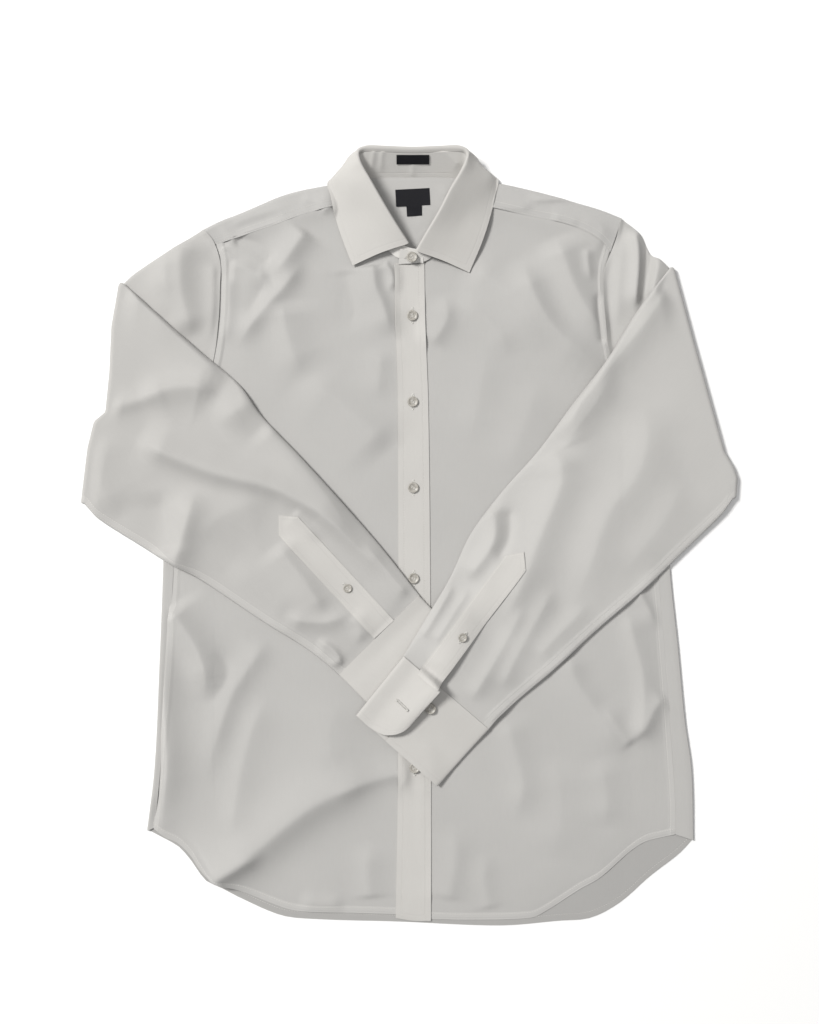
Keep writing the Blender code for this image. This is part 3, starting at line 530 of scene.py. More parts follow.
def sewing_thread(name):
    finish = Finish(name)
    ply = finish.cloud(2200.0, Detail=1.0)
    tone = finish.ramp(ply, (0.0, (0.52, 0.51, 0.48)), (1.0, (0.70, 0.69, 0.66)))
    return finish.shade({"Base Color": tone, "Roughness": 0.5})


def pearl(name):
    finish = Finish(name)
    cloud = finish.cloud(260.0, Detail=3.0, Distortion=1.6)
    tone = finish.ramp(cloud, (0.35, (0.27, 0.255, 0.225)), (0.68, (0.43, 0.41, 0.375)))
    return finish.shade({
        "Base Color": tone, "Normal": finish.bump(cloud, 0.25, 0.0003), "Roughness": 0.42,
        "Coat Weight": 0.12, "Coat Roughness": 0.2,
    })


LABEL = satin("woven label")
THREAD = sewing_thread("sewing thread")
PEARL = pearl("pearl button")
print("other finishes:", [m.name for m in (LABEL, THREAD, PEARL)])

# %% [markdown]
# ## Stitches
# Lockstitch shows as a row of short threads, each a little pillow half sunk in the cloth. The rows
# run at a set distance inside an edge, so they are found on the finished grid of a piece, with the
# cloth's own tilt, and every stitch is one small sphere stretched along the seam.


# %% Sew along an edge
STITCH_PITCH = 2.7
STITCH_LENGTH = 2.1
STITCH_RADIUS = 0.24
STITCH_FLAT = 0.8        # its height as a share of its width
STITCH_STAND = 0.04      # how far its middle stands off the cloth
STITCH_AIM = 0.4         # how far to each side its direction is taken


def unit(direction):
    return direction / np.linalg.norm(direction, axis=-1, keepdims=True)


def seam_path(grid, edge, inset, part=(0.0, 1.0)):
    """Places and tilts along a piece, at a distance inside one of its edges."""
    away = edge_distances(grid)[edge]
    tilt = np.cross(np.gradient(grid, axis=1), np.gradient(grid, axis=0))
    tilt /= np.maximum(np.linalg.norm(tilt, axis=-1, keepdims=True), 1e-9)
    if edge in ("low", "high"):
        grid, tilt, away = np.swapaxes(grid, 0, 1), np.swapaxes(tilt, 0, 1), away.T
    if away[0, 0] > away[0, -1]:
        grid, tilt, away = grid[:, ::-1], tilt[:, ::-1], away[:, ::-1]
    path = np.array([
        [np.interp(inset, distance, row[:, k]) for k in range(6)]
        for row, distance in zip(np.concatenate([grid, tilt], axis=-1), away)
    ])
    start, end = (round(share * (len(path) - 1)) for share in part)
    return path[start:end + 1]


def add_stitch(bm, spot, along, up, length=STITCH_LENGTH, radius=STITCH_RADIUS):
    along = unit(along)
    up = unit(up - along * up.dot(along))
    axes = (along * length / 2, np.cross(up, along) * radius, up * radius * STITCH_FLAT)
    matrix = Matrix.Translation(spot) @ Matrix(axes).transposed().to_4x4()
    bmesh.ops.create_icosphere(bm, subdivisions=1, radius=1.0, matrix=matrix)


def thread_piece(name, bm, slot):
    bmesh.ops.transform(bm, matrix=Matrix.Scale(MM, 4) @ Matrix.Translation(CENTRE), verts=bm.verts)
    return piece(mesh_from(bm, name), THREAD, slot)


def sew(name, slot, grid, *rows, wall=0.0):
    """A row of stitches for each edge, inset and part. wall is how far the seen face stands off
    the grid."""
    bm = bmesh.new()
    count = 0
    for row in rows:
        path = seam_path(grid, *row)
        steps = np.linalg.norm(np.diff(path[:, :3], axis=0), axis=1)
        run = np.concatenate([[0], np.cumsum(steps)])
        marks = np.arange(STITCH_PITCH / 2, run[-1], STITCH_PITCH)
        spots, before, after = (
            np.stack([np.interp(marks + step, run, path[:, k]) for k in range(6)], axis=1)
            for step in (0, -STITCH_AIM, STITCH_AIM)
        )
        for spot, ahead in zip(spots, after - before):
            if np.linalg.norm(ahead[:3]) > WELD:
                place = spot[:3] + spot[3:] * (wall + STITCH_STAND)
                add_stitch(bm, place, ahead[:3], spot[3:])
                count += 1
    print(f"{name}: {count} stitches")
    return thread_piece("stitches_" + name, bm, slot)


# %% [markdown]
# A buttonhole is a slit whose edges are bound by close satin stitches, with a bar across each
# end. The same small pillow serves here, longer and set side by side.

# %% Work a buttonhole
SATIN_PITCH = 0.6
SATIN_RADIUS = 0.3
HOLE_SIDE = 0.95         # from the slit to the middle of its rows
UP = np.array((0, 0, 1.0))


def turned(degrees):
    """The directions along and across a line at an angle to the drafting axes."""
    angle = math.radians(degrees)
    along = np.array((math.cos(angle), math.sin(angle), 0.0))
    return along, np.array((-along[1], along[0], 0.0))


def buttonhole(name, x, y, length, turn):
    """Two close rows of satin stitches along a slit, and a bar at each end of it."""
    along, across = turned(turn)
    rest = pile_top(1.0, 0.8)
    bm = bmesh.new()

    def stitch(away, side, size):
        spot = np.array((x, y, 0.0)) + along * away + across * side
        spot[2] = rest(spot[0], spot[1]) + STITCH_STAND
        add_stitch(bm, spot, across, UP, size, SATIN_RADIUS)

    for away in np.arange(-length / 2, length / 2, SATIN_PITCH):
        for side in (-HOLE_SIDE, HOLE_SIDE):
            stitch(away, side, 1.5)
    for end in (-1, 1):
        for step in (0.0, 0.5, 1.0):
            stitch(end * (length / 2 + step), 0.0, 3.2)
    return thread_piece("buttonhole_" + name, bm, "fused_shirting")


print("stitch pitch", STITCH_PITCH, "mm")

# %% [markdown]
# ## Camera, light and floor
# The shirt lies on a pale floor and is seen from straight above. One large soft light stands to
# the upper left, so the collar and the sleeves throw a short soft shadow to the right, and the
# pale surroundings fill the rest.

# %% Set the camera, the light and the floor
scene = bpy.context.scene
camera = placed("camera", bpy.data.cameras.new("camera"))
camera.location = (-0.0007, 0.02705, 1.6)
camera.data.lens = 53.6
scene.camera = camera


def soft_light(name, spot, size, power, colour):
    """A round lamp that looks at the middle of the shirt."""
    lamp = bpy.data.lights.new(name, "AREA")
    lamp.shape, lamp.size, lamp.energy, lamp.color = "DISK", size, power, colour
    obj = placed(name, lamp)
    obj.location = spot
    obj.rotation_euler = (-Vector(spot)).to_track_quat("-Z", "Y").to_euler()


soft_light("key", (-3.5, 2.2, 4.9), 1.8, 440.0, (1.0, 0.99, 0.97))
soft_light("overhead", (0.3, 0.0, 5.0), 3.0, 46.0, (1.0, 1.0, 1.0))
surroundings = bpy.data.worlds.new("surroundings")
surroundings.use_nodes = True
sky = surroundings.node_tree.nodes["Background"].inputs
sky["Color"].default_value = (1.0, 1.0, 1.0, 1)
sky["Strength"].default_value = 0.34
scene.world = surroundings
scene.view_settings.view_transform = "Standard"

bm = bmesh.new()
bmesh.ops.create_grid(bm, x_segments=1, y_segments=1, size=3.0)
floor = placed("floor", mesh_from(bm, "floor"))
floor.data.materials.append(Finish("pale floor").shade({
    "Base Color": (0.84, 0.84, 0.84, 1), "Roughness": 1.0, "Specular IOR Level": 0.0,
}))
print("camera at", tuple(round(v, 3) for v in camera.location))

# %% [markdown]
# ## The outlines
# These are the sewn edges of the panels as they lie: armholes, side seams, neck, yoke seams and
# hems. Two panels that share a seam share its line, so they meet without gaps.

# %% Outlines of the body
ARMHOLE_RIGHT = (
    (-204, 305), (-199.5, 284), (-199.5, 260), (-201, 224), (-207, 180), (-220, 140),
    (-236, 109), (-248, 93),
)
ARMHOLE_LEFT = (
    (210, 297), (204, 274), (203, 255), (205, 224), (209, 190), (222, 145), (240, 112), (256, 94),
)
SIDE_SEAM_RIGHT = ((-249, 60), (-250, -38), (-254, -112), (-259, -196), (-265, -270), (-270, -308))
SIDE_SEAM_LEFT = ((260, 70), (262, -32), (268, -112), (275, -206), (280, -280), (280, -315))
SIDE_EDGE_RIGHT = ((-255, 60), (-257, -29), (-261, -150), (-266, -250), (-274, -311))
SIDE_EDGE_LEFT = ((267, 70), (271, -32), (280, -122), (287, -196), (294, -248), (296, -321))
NECK_RIGHT = ((-58, 346), (-49, 330), (-37, 314), (-23, 298), (-8, 286), (12, 281))
NECK_LEFT = ((14, 281), (31, 297), (48, 318), (60, 338), (64, 344))
YOKE_SEAM_RIGHT = ((-204, 305), (-187, 310), (-163, 318), (-136, 327), (-115, 335), (-82, 344))
YOKE_SEAM_LEFT = ((91, 342), (126, 334), (152, 329), (178, 321), (199, 309), (210, 297))
ARMSCYE_RIGHT = ((-217, 318), (-207, 307)) + ARMHOLE_RIGHT[1:]
ARMSCYE_LEFT = ((222, 330), (217, 309)) + ARMHOLE_LEFT[1:]
SHOULDER_RIGHT = (
    (-217, 318), (-199, 327), (-178, 335), (-157, 344), (-136, 353), (-115, 359), (-84, 365),
    (-63, 369),
)
SHOULDER_LEFT = (
    (222, 330), (199, 339), (168, 348), (136, 357), (107, 364), (91, 367), (69, 370),
)
FRONT_HEM_RIGHT = (
    (-270, -308), (-257, -318), (-243, -325), (-230, -338), (-221, -352), (-210, -363),
    (-178, -374), (-133, -392), (-115, -396), (-52, -398), (12, -400),
)
FRONT_HEM_LEFT = (
    (14, -404), (60, -405), (126, -403), (142, -396), (178, -373), (199, -361), (231, -333),
    (247, -323), (262, -319), (280, -315),
)
BACK_HEM = (
    (-274, -311), (-257, -320), (-243, -328), (-231, -341), (-214, -364), (-199, -371),
    (-178, -382), (-136, -400), (-105, -404), (-10, -407), (94, -411), (157, -406), (189, -403),
    (220, -387), (252, -359), (283, -335), (296, -321),
)
MIDDLE = 3               # the neck's middle
YOKE_SEAM_BACK = 266
ARMHOLE_HALF = 201       # half the back's width at the yoke seam
SHIRTING = 0.5           # wall of one ply of shirting
PLIES = 1.1              # wall of the fused pieces
FRONT_LEVEL = 1.9        # how high the fronts lie over the table
AIR = 0.25               # what a piece keeps from the pile under it
print("the hem is", BACK_HEM[-1][0] - BACK_HEM[0][0], "mm across")

# %% [markdown]
# ## Back
# The back is one broad panel under everything else. Its side edges don't end at the outline of
# the shirt: they turn over there and come back a few millimetres to the side seams, which lie on
# the front. So the panel gets a narrow return along each side.

# %% Make the back
BACK_SWELL = 0.25


def make_back():
    right = ((MIDDLE - ARMHOLE_HALF, YOKE_SEAM_BACK),) + ARMHOLE_RIGHT[3:] + SIDE_EDGE_RIGHT
    left = ((MIDDLE + ARMHOLE_HALF, YOKE_SEAM_BACK),) + ARMHOLE_LEFT[3:] + SIDE_EDGE_LEFT
    plan = panel(
        top=through(right[0], left[0]), bottom=through(*BACK_HEM),
        first=through(*right), last=through(*left),
    )
    grid = plan(*spread(70, 84))
    swell = ease((ripple(grid[..., 0], grid[..., 1], 1.0, 60, 3) + 1) / 2)
    grid[..., 2] = SHIRTING + BACK_SWELL * swell
    return grid


BACK_GRID = make_back()
# The back wears the darker inside tint, which is painted shade.
back = cloth("back", BACK_GRID, SHIRTING, INSIDE_PAINTED_SHADE, "shirting", ("low",), straight=True)


# %% [markdown]
# The side returns are short strips that roll from the back's edge up and over to the side seam.
# A half turn of small radius, swept along the edge, makes them without touching the flat panel.

# %% Make the side returns
RETURN_HEIGHT = 2.6
RETURN_UNDER = 3.0       # how far it starts in from the edge, on the back
RETURN_ROLL = 1.1
RETURN_LAP = 2.0         # how far it goes on under the front past the side seam
RETURN_SINK = 0.6


def side_return(arm, edge, seam, side, swell):
    shares = np.linspace(0, 1, 150)
    height = RETURN_HEIGHT + swell * ease((shares - 0.3) / 0.3) * ease((1 - shares) / 0.1)
    edge_line, seam_line = through(*edge)(shares), through(*seam)(shares)
    strip = [edge_line + np.array((-side * RETURN_UNDER, 0, AIR))]
    for angle in np.linspace(-90, 90, 9):
        turn = math.radians(angle)
        roll = edge_line + np.array((side * math.cos(turn) * RETURN_ROLL, 0, AIR))
        roll[:, 2] += height / 2 * (1 + math.sin(turn))
        strip.append(roll)
    for part in (0.35, 0.7, 1.0):
        over = edge_line * (1 - part) + seam_line * part
        over[:, 2] = height + AIR - RETURN_SINK * part
        strip.append(over + np.array((-side * RETURN_LAP * part, 0, 0)))
    grid = np.stack(strip, axis=1)[::-1, ::side]
    name = f"side_return_{arm}"
    return cloth(name, grid, SHIRTING, BODY, "shirting", straight=True, replaced=False)


side_right = side_return(
    "right", ((-250, 93),) + SIDE_EDGE_RIGHT, ((-248, 93),) + SIDE_SEAM_RIGHT, -1, 5.0
)
side_left = side_return(
    "left", ((259, 94),) + SIDE_EDGE_LEFT, ((256, 94),) + SIDE_SEAM_LEFT, 1, 0.4
)

# %% [markdown]
# ## Fronts
# Each front runs from the yoke seam to the curved shirt tail. Its creases start at the shoulder
# and the armhole, where the cloth was pulled, and run on under the sleeves. A doubled, felled seam
# stands up along the armhole and the side, and the hem is rolled.

# %% Creases of the two fronts
FRONT_RIGHT_CREASES = crease_table(
    (4.0, 12, 12, ((-196, 308), (-155, 322), (-116, 333), (-74, 346)), (0.1, 0.1)),
    (8.5, 13, 16, ((-107, 319), (-121, 299), (-135, 280), (-150, 269)), (0.15, 0.35)),
    (4.5, 13, 8, ((-143, 272), (-160, 270), (-174, 278), (-190, 280)), (0.3, 0.15)),
    (7.0, 11, 13, ((-109, 287), (-131, 259), (-151, 237), (-168, 216), (-183, 191)), (0.25, 0.3)),
    (-3.0, 8, 8, ((-151, 265), (-161, 245), (-173, 224)), (0.3, 0.4)),
    (6.5, 24, 15, ((-133, 245), (-130, 216), (-122, 188), (-107, 159)), (0.2, 0.35)),
    (-6.0, 7, 5, ((-187, 308), (-171, 304), (-156, 296), (-143, 283)), (0.2, 0.2)),
    (3.4, 9, 7, ((-190, 275), (-189, 245), (-190, 219), (-196, 195)), (0.2, 0.3)),
    (2.5, 5, 4, ((-196, 300), (-188, 290), (-184, 284)), (0.1, 0.4)),
    (2.6, 3.6, 3.6, ((-93, 335), (-82, 345)), (0.3, 0.1)),
    (6.0, 8, 18, ((-39, 282), (-36, 256), (-30, 243), (-24, 224), (-19, 204)), (0.05, 0.3)),
    (3.0, 12, 18, ((-29, 198), (-32, 170), (-34, 136)), (0.3, 0.4)),
    (3.4, 2.6, 6, ((-26, 284), (-20, 275), (-18, 263), (-23, 253)), (0.05, 0.3)),
    (-2.2, 12, 14.4, ((-68, 277), (-63, 245), (-61, 206)), (0.1, 0.4)),
    (6.0, 20, 30, ((-120, 167), (-79, 140), (-47, 113), (-21, 86)), (0.3, 0.2)),
    (11.0, 18, 14, (
        (-252, -76), (-234, -101), (-220, -125), (-213, -152), (-217, -179),
    ), (0.12, 0.35)),
    (-2.0, 7, 8, ((-208, -120), (-193, -135), (-191, -150), (-200, -166), (-214, -181))),
    (5.2, 13, 16, (
        (-147, -108), (-168, -139), (-185, -166), (-197, -198), (-206, -229), (-216, -269),
    ), (0.15, 0.4)),
    (4.0, 20, 12, (
        (-145, -164), (-162, -198), (-173, -234), (-181, -275), (-187, -322),
    ), (0.25, 0.2)),
    (11.0, 19, 8, (
        (-251, -40), (-254, -100), (-256, -175), (-253, -238), (-258, -290), (-264, -336),
    ), (0.42, 0.3)),
    (13.0, 20, 30, (
        (-26, -255), (-63, -266), (-97, -281), (-128, -303), (-160, -330), (-187, -349),
        (-210, -364),
    ), (0.3, 0.05)),
    (6.0, 8, 16, ((-149, -330), (-172, -343), (-191, -355), (-211, -366)), (0.4, 0.05)),
    (4.5, 9, 14, ((-6, -250), (-32, -256), (-58, -264), (-86, -277)), (0.03, 0.4)),
    (3.0, 16, 12, ((-40, -320), (-44, -349), (-42, -384)), (0.4, 0.1)),
    (2.6, 9.6, 9.6, ((-118, -384), (-92, -388), (-66, -386))),
    (2.2, 26, 22, ((-70, -170), (-84, -209), (-80, -249))),
)
FRONT_LEFT_CREASES = crease_table(
    (3.2, 14, 11, ((72, 346), (126, 331), (178, 318), (208, 297)), (0.1, 0.1)),
    (10.0, 20, 18, (
        (152, 312), (161, 287), (170, 262), (181, 241), (191, 226), (206, 207), (223, 191),
    ), (0.15, 0.4)),
    (10.5, 19, 22, (
        (116, 291), (125, 260), (142, 226), (164, 200), (191, 181), (223, 165),
    ), (0.2, 0.4)),
    (5.5, 18, 20, ((59, 285), (89, 262), (114, 237), (131, 214), (145, 186)), (0.2, 0.4)),
    (3.2, 14, 16, ((44, 247), (71, 233), (94, 209), (107, 182))),
    (4.6, 10, 18, ((35, 253), (39, 229), (32, 212), (19, 196)), (0.35, 0.2)),
    (3.0, 7, 5, ((185, 300), (186, 282), (190, 262)), (0.2, 0.4)),
    (-3.0, 4, 4, ((196, 254), (197, 229), (202, 198)), (0.2, 0.1)),
    (2.6, 24, 22, ((84, 200), (74, 150), (62, 90))),
    (3.2, 28, 24, ((140, 170), (122, 120), (100, 60))),
    (4.8, 13, 20, ((165, -122), (173, -154), (193, -183), (212, -212), (231, -238)), (0.15, 0.3)),
    (4.5, 16, 9, (
        (227, -78), (234, -112), (243, -143), (245, -175), (242, -202), (234, -225),
    ), (0.15, 0.15)),
    (4.2, 10, 10, ((269, -169), (257, -181), (248, -198), (238, -215)), (0.2, 0.3)),
    (3.4, 14, 8, ((200, -175), (216, -200), (233, -223)), (0.4, 0.15)),
    (4.0, 6, 9, ((237, -57), (251, -82), (260, -103)), (0.1, 0.5)),
    (4.4, 18, 15, ((99, -187), (109, -225), (118, -261), (109, -305)), (0.2, 0.3)),
    (3.2, 21, 17, ((196, -233), (206, -270), (204, -310))),
    (2.6, 12, 15, ((44, -300), (48, -340), (40, -386)), (0.4, 0.1)),
    (2.2, 11, 11, ((82, -330), (78, -360), (84, -395)), (0.4, 0.1)),
    (3.0, 30, 26, ((150, -229), (158, -290), (150, -345))),
)
print(len(FRONT_RIGHT_CREASES) + len(FRONT_LEFT_CREASES), "creases on the fronts")

# %% Make the fronts
FELL = 7.6               # width of a felled seam
FELL_RISE = 1.1
SIDE_RISE = 0.4
HEM = 6.5
HEM_RISE = 0.45
HEM_DROP = 0.8           # the hem lies nearer to the back than the rest
LOFT = 1.0               # air under the fronts, away from their edges
FRONT_LEAST = 1.35       # how near a front comes to the table in a trough


def raised(distance, width, rise):
    """The step of a folded edge: up to its full rise, then down past its width."""
    return rise * ease(distance / 0.8 + 0.4) * (1 - ease((distance - width) / 1.6))


def front_grid(plan, creases, armhole_edge, seed):
    """A front's places, closer together towards the armhole, where the creases are."""
    u, v = spread(124, 280)
    from_armhole = u if armhole_edge == "first" else 1 - u
    from_armhole = 0.6 * from_armhole + 0.4 * from_armhole**2
    grid = plan(from_armhole if armhole_edge == "first" else 1 - from_armhole, v)
    x, y = grid[..., 0], grid[..., 1]
    edges = edge_distances(grid)
    seam, hem = edges[armhole_edge], edges["low"]
    z = FRONT_LEVEL + lift(x, y, creases) + ripple(x, y, 0.7, 90, seed)
    z += LOFT * ease(np.minimum(seam, hem) / 40)
    rise = SIDE_RISE + (FELL_RISE - SIDE_RISE) * ease((y - 90) / 30)
    z += raised(seam, FELL, 1.0) * rise + raised(hem, HEM, HEM_RISE)
    z -= HEM_DROP * (1 - ease(hem / 14))
    grid[..., 2] = np.maximum(z, FRONT_LEAST)
    return grid


RIGHT_PLAN = panel(
    top=through(*YOKE_SEAM_RIGHT, *NECK_RIGHT), bottom=through(*FRONT_HEM_RIGHT),
    first=through(*ARMHOLE_RIGHT, *SIDE_SEAM_RIGHT),
    last=through(NECK_RIGHT[-1], FRONT_HEM_RIGHT[-1]),
)
LEFT_PLAN = panel(
    top=through(*NECK_LEFT, *YOKE_SEAM_LEFT), bottom=through(*FRONT_HEM_LEFT),
    first=through(NECK_LEFT[0], FRONT_HEM_LEFT[0]),
    last=through(*ARMHOLE_LEFT, *SIDE_SEAM_LEFT),
)
RIGHT_GRID = front_grid(RIGHT_PLAN, FRONT_RIGHT_CREASES, "first", 11)
LEFT_GRID = front_grid(LEFT_PLAN, FRONT_LEFT_CREASES, "last", 12)
front_right, front_left = (
    cloth(name, grid, SHIRTING, BODY, "shirting", (armhole_edge, "low"), straight=True)
    for name, grid, armhole_edge in (
        ("front_right", RIGHT_GRID, "first"), ("front_left", LEFT_GRID, "last"),
    )
)

# %% [markdown]
# ## Yoke
# The yoke is the strip that joins the fronts to the back over the shoulders. It starts at each
# front seam, rolls over the shoulder and runs round behind the neck, where its inside shows.
# A net of lines across it, made fine by the spline, gives the roll and the flat part in one go.

# %% Make the yoke
SHOULDER_FOLD = 2.4
YokeLine = namedtuple("YokeLine", "foot_away neck_away neck_y")
YOKE_LINES = (YokeLine(199, 53, 373), YokeLine(130, 36, 375), YokeLine(60, 18, 376))
YOKE_CREASES = crease_table(
    (1.6, 8, 6, ((-190, 322), (-160, 333), (-120, 345)), (0.2, 0.4)),
    (-1.3, 7, 7, ((-196, 314), (-160, 326), (-130, 336))),
    (1.6, 6, 5, ((-116, 352), (-98, 347), (-84, 341))),
    (2.0, 8, 4, ((82, 342), (105, 340), (131, 341)), (0.05, 0.3)),
    (2.2, 8, 3, ((118, 348), (147, 349), (177, 352)), (0.3, 0.1)),
    (1.8, 8, 7, ((145, 331), (163, 330), (179, 323))),
    (1.4, 8, 7, ((168, 330), (196, 322), (212, 306))),
    (1.0, 8, 7, ((-26, 368), (-28, 352), (-22, 336))),
    (1.2, 10, 8, ((34, 368), (38, 350), (30, 330))),
    (0.9, 12, 10, ((0, 334), (20, 322), (10, 304))),
)


def shoulder_roll(shoulder, angle, shares):
    """Places on the fold over the shoulder: angle 0 is underneath, 180 on top."""
    along = shoulder(shares + 0.01) - shoulder(shares - 0.01)
    inward = unit(np.stack([along[:, 1], -along[:, 0], 0 * along[:, 0]], axis=1))
    inward *= np.where(inward[:, 1:2] > 0, -1, 1)
    turn = math.radians(angle)
    spots = shoulder(shares) + inward * SHOULDER_FOLD * (1 - math.sin(turn))
    spots[:, 2] = SHOULDER_FOLD * (1 - math.cos(turn)) + SHIRTING
    return spots


def yoke_half(seam, shoulder, armhole, side):
    shares = np.linspace(0, 1, 19)
    seam_line, shoulder_line = through(*seam), through(*shoulder)
    on_top = shoulder_roll(shoulder_line, 180, shares)
    rest = pile_top(1.5, 1.5)
    start = seam_line(shares) - np.array((0, 2.2, 0))
    start[:, 2] = rest(start[:, 0], start[:, 1]) + 0.2
    half = [start * (1 - part) + on_top * part for part in (0.0, 0.3, 0.55, 0.8)]
    half += [shoulder_roll(shoulder_line, angle, shares) for angle in (180, 135, 90, 45, 0)]

    def line_to(foot, away, neck_y):
        start, end = np.array((*foot, SHIRTING)), np.array((MIDDLE + away, neck_y, SHIRTING))
        return start * (1 - shares[:, None]) + end * shares[:, None]

    half += [line_to(armhole[1], side * 61, 369), line_to(armhole[2], side * 58, 369)]
    for line in YOKE_LINES:
        foot = (MIDDLE + side * line.foot_away, YOKE_SEAM_BACK)
        half.append(line_to(foot, side * line.neck_away, line.neck_y))
    return half, line_to


def yoke_grid():
    right, line_to = yoke_half(YOKE_SEAM_RIGHT + ((-59, 349),), SHOULDER_RIGHT, ARMSCYE_RIGHT, -1)
    left, _ = yoke_half(YOKE_SEAM_LEFT[::-1] + ((66, 347),), SHOULDER_LEFT, ARMSCYE_LEFT, 1)
    net = right + [line_to((MIDDLE, YOKE_SEAM_BACK), 0, YOKE_LINES[-1].neck_y)] + left[::-1]
    grid = fine_net(np.array(net), 220, 78)
    x, y, z = grid[..., 0], grid[..., 1], grid[..., 2]
    creases = lift(x, y, YOKE_CREASES)
    upper = z > SHOULDER_FOLD + SHIRTING
    inside = (np.abs(x - MIDDLE) < 80) & ~upper
    grid[..., 2] += np.where(upper | inside, creases, 0.0)
    grid[..., 2] = np.maximum(grid[..., 2], SHIRTING)
    return grid


YOKE_GRID = yoke_grid()
yoke = cloth("yoke", YOKE_GRID, SHIRTING, YOKE, "shirting", ("low", "high"))


# %% [markdown]
# ## Placket
# The front placket is a stiff doubled strip with a row of stitches along each side. It lies flat
# on the fronts, so it takes its heights from the pile through a wide, soft filter.

# %% Make the placket
def lying(plan, columns, rows, reach, soften, wall, creases=()):
    """A grid on the plan that lies on the pile."""
    grid = plan(*spread(columns, rows))
    rest = pile_top(reach, soften)
    grid[..., 2] = rest(grid[..., 0], grid[..., 1]) + wall + AIR
    grid[..., 2] += lift(grid[..., 0], grid[..., 1], creases)
    return grid


PLACKET_PLAN = panel(
    top=through((-16, 283), (2, 281), (15, 284)),
    bottom=through((-15, -403), (4, -406), (22, -406)),
    first=through((-16, 283), (-15, 220), (-12.6, 140), (-12.6, -259), (-15, -403)),
    last=through((15, 284), (16, 220), (19, 140), (21, -28), (22, -259), (22, -406)),
)
PLACKET_CREASES = crease_table(
    (0.5, 10, 8, ((-14, 232), (2, 236), (18, 230))),
    (0.6, 12, 10, ((-12, -262), (4, -270), (22, -268)), (0.1, 0.2)),
)
PLACKET_SUNK = 0.45      # how far it presses into the fronts
PLACKET_GRID = lying(PLACKET_PLAN, 26, 260, 4.0, 4.0, PLIES - PLACKET_SUNK, PLACKET_CREASES)
placket = cloth(
    "placket", PLACKET_GRID, PLIES, FUSED, "fused_shirting", ("first", "last", "low"), straight=True
)

# %% [markdown]
# ## Buttons
# A shirt button is turned from a disc: a rounded rim, a dished middle and four holes. A profile is
# spun for the body, one Boolean bores the holes, and every button is a copy of that mesh.

# %% Turn a button
BUTTON_RADIUS = 5.6
SMALL_BUTTON_RADIUS = 4.6
BUTTON_PROFILE = (       # distance from the middle and height, as shares of the radius
    (0.0, 0.0), (0.72, 0.0), (0.92, 0.08), (1.0, 0.2), (0.97, 0.31), (0.88, 0.36), (0.76, 0.33),
    (0.66, 0.25), (0.5, 0.2), (0.0, 0.18),
)
HOLE_AWAY = 0.24
HOLE_RADIUS = 0.1
BUTTON_TOP = 0.36        # the height of its rim
SHARP = math.radians(50)


def button_shape(name):
    bm = bmesh.new()
    verts = [bm.verts.new((r, 0, z)) for r, z in BUTTON_PROFILE]
    rim = [bm.edges.new(pair) for pair in zip(verts, verts[1:])]
    bmesh.ops.spin(
        bm, geom=verts + rim, cent=(0, 0, 0), axis=(0, 0, 1), angle=2 * math.pi, steps=32,
        use_merge=True,
    )
    bmesh.ops.remove_doubles(bm, verts=bm.verts, dist=1e-5)
    bmesh.ops.recalc_face_normals(bm, faces=bm.faces)
    body = placed(name, mesh_from(bm, name))
    drills = bmesh.new()
    for quarter in range(4):
        away = Vector(turned(45 + 90 * quarter)[0]) * HOLE_AWAY * math.sqrt(2)
        bmesh.ops.create_cone(
            drills, cap_ends=True, segments=12, radius1=HOLE_RADIUS, radius2=HOLE_RADIUS,
            depth=1.0, matrix=Matrix.Translation((*away.xy, 0.15)),
        )
    drill = placed("drills", mesh_from(drills, "drills"))
    bore = body.modifiers.new("holes", "BOOLEAN")
    bore.object, bore.operation, bore.solver = drill, "DIFFERENCE", "EXACT"
    graph = bpy.context.evaluated_depsgraph_get()
    bored = bpy.data.meshes.new_from_object(body.evaluated_get(graph))
    for obj in (body, drill):
        bpy.data.objects.remove(obj)
    print("a button has", len(bored.polygons), "faces")
    return bored


BUTTON_SHAPE = button_shape("button shape")


# %% [markdown]
# A button is sewn on with two bars of thread across its four holes. Each bar is two strands, made
# as long thin pillows. The button rests on the highest cloth under it, so its height is read from
# the pile, and it then becomes part of the pile itself.

# %% Sew the buttons on
BAR_HEIGHT = 0.24        # as a share of the button's radius
BAR_LENGTH = 1.25
STRAND = 0.28            # half the way between two strands


def thread_bars(name, spot, radius, turn):
    """The sewing thread that crosses the four holes."""
    bm = bmesh.new()
    away = HOLE_AWAY * radius
    for side in (-1, 1):
        for strand in (-STRAND, STRAND):
            place = Matrix.Translation((strand, side * away, BAR_HEIGHT * radius))
            shape = place @ Matrix.Diagonal((BAR_LENGTH * away, 0.32, 0.34, 1))
            bmesh.ops.create_icosphere(bm, subdivisions=2, radius=1.0, matrix=shape)
    bmesh.ops.transform(bm, matrix=Matrix.Rotation(turn, 4, "Z"), verts=bm.verts)
    bmesh.ops.translate(bm, vec=Vector(spot), verts=bm.verts)
    return thread_piece(name, bm, "button")


def make_button(name, x, y, radius, turn=0.0, reach=0.8):
    """reach says how much of the button rests on the pile."""
    name = "button_" + name
    height = float(pile_top(radius * reach, 0)(np.array(x), np.array(y))) + 0.2
    mesh = BUTTON_SHAPE.copy()
    mesh.name = name + "_turned"
    mesh.transform(
        Matrix.Scale(MM, 4) @ Matrix.Translation(Vector((x, y, height)) + Vector(CENTRE))
        @ Matrix.Rotation(turn, 4, "Z") @ Matrix.Scale(radius, 4)
    )
    mesh.materials.clear()
    piece(mesh, PEARL, "button", name)
    mesh.set_sharp_from_angle(angle=SHARP)
    thread_bars(name + "_thread", (x, y, height), radius, turn)
    corners = np.meshgrid((-radius, 0, radius), (-radius, 0, radius), (BUTTON_TOP * radius,))
    lay(np.stack(corners, axis=-1)[:, :, 0] + (x, y, height))


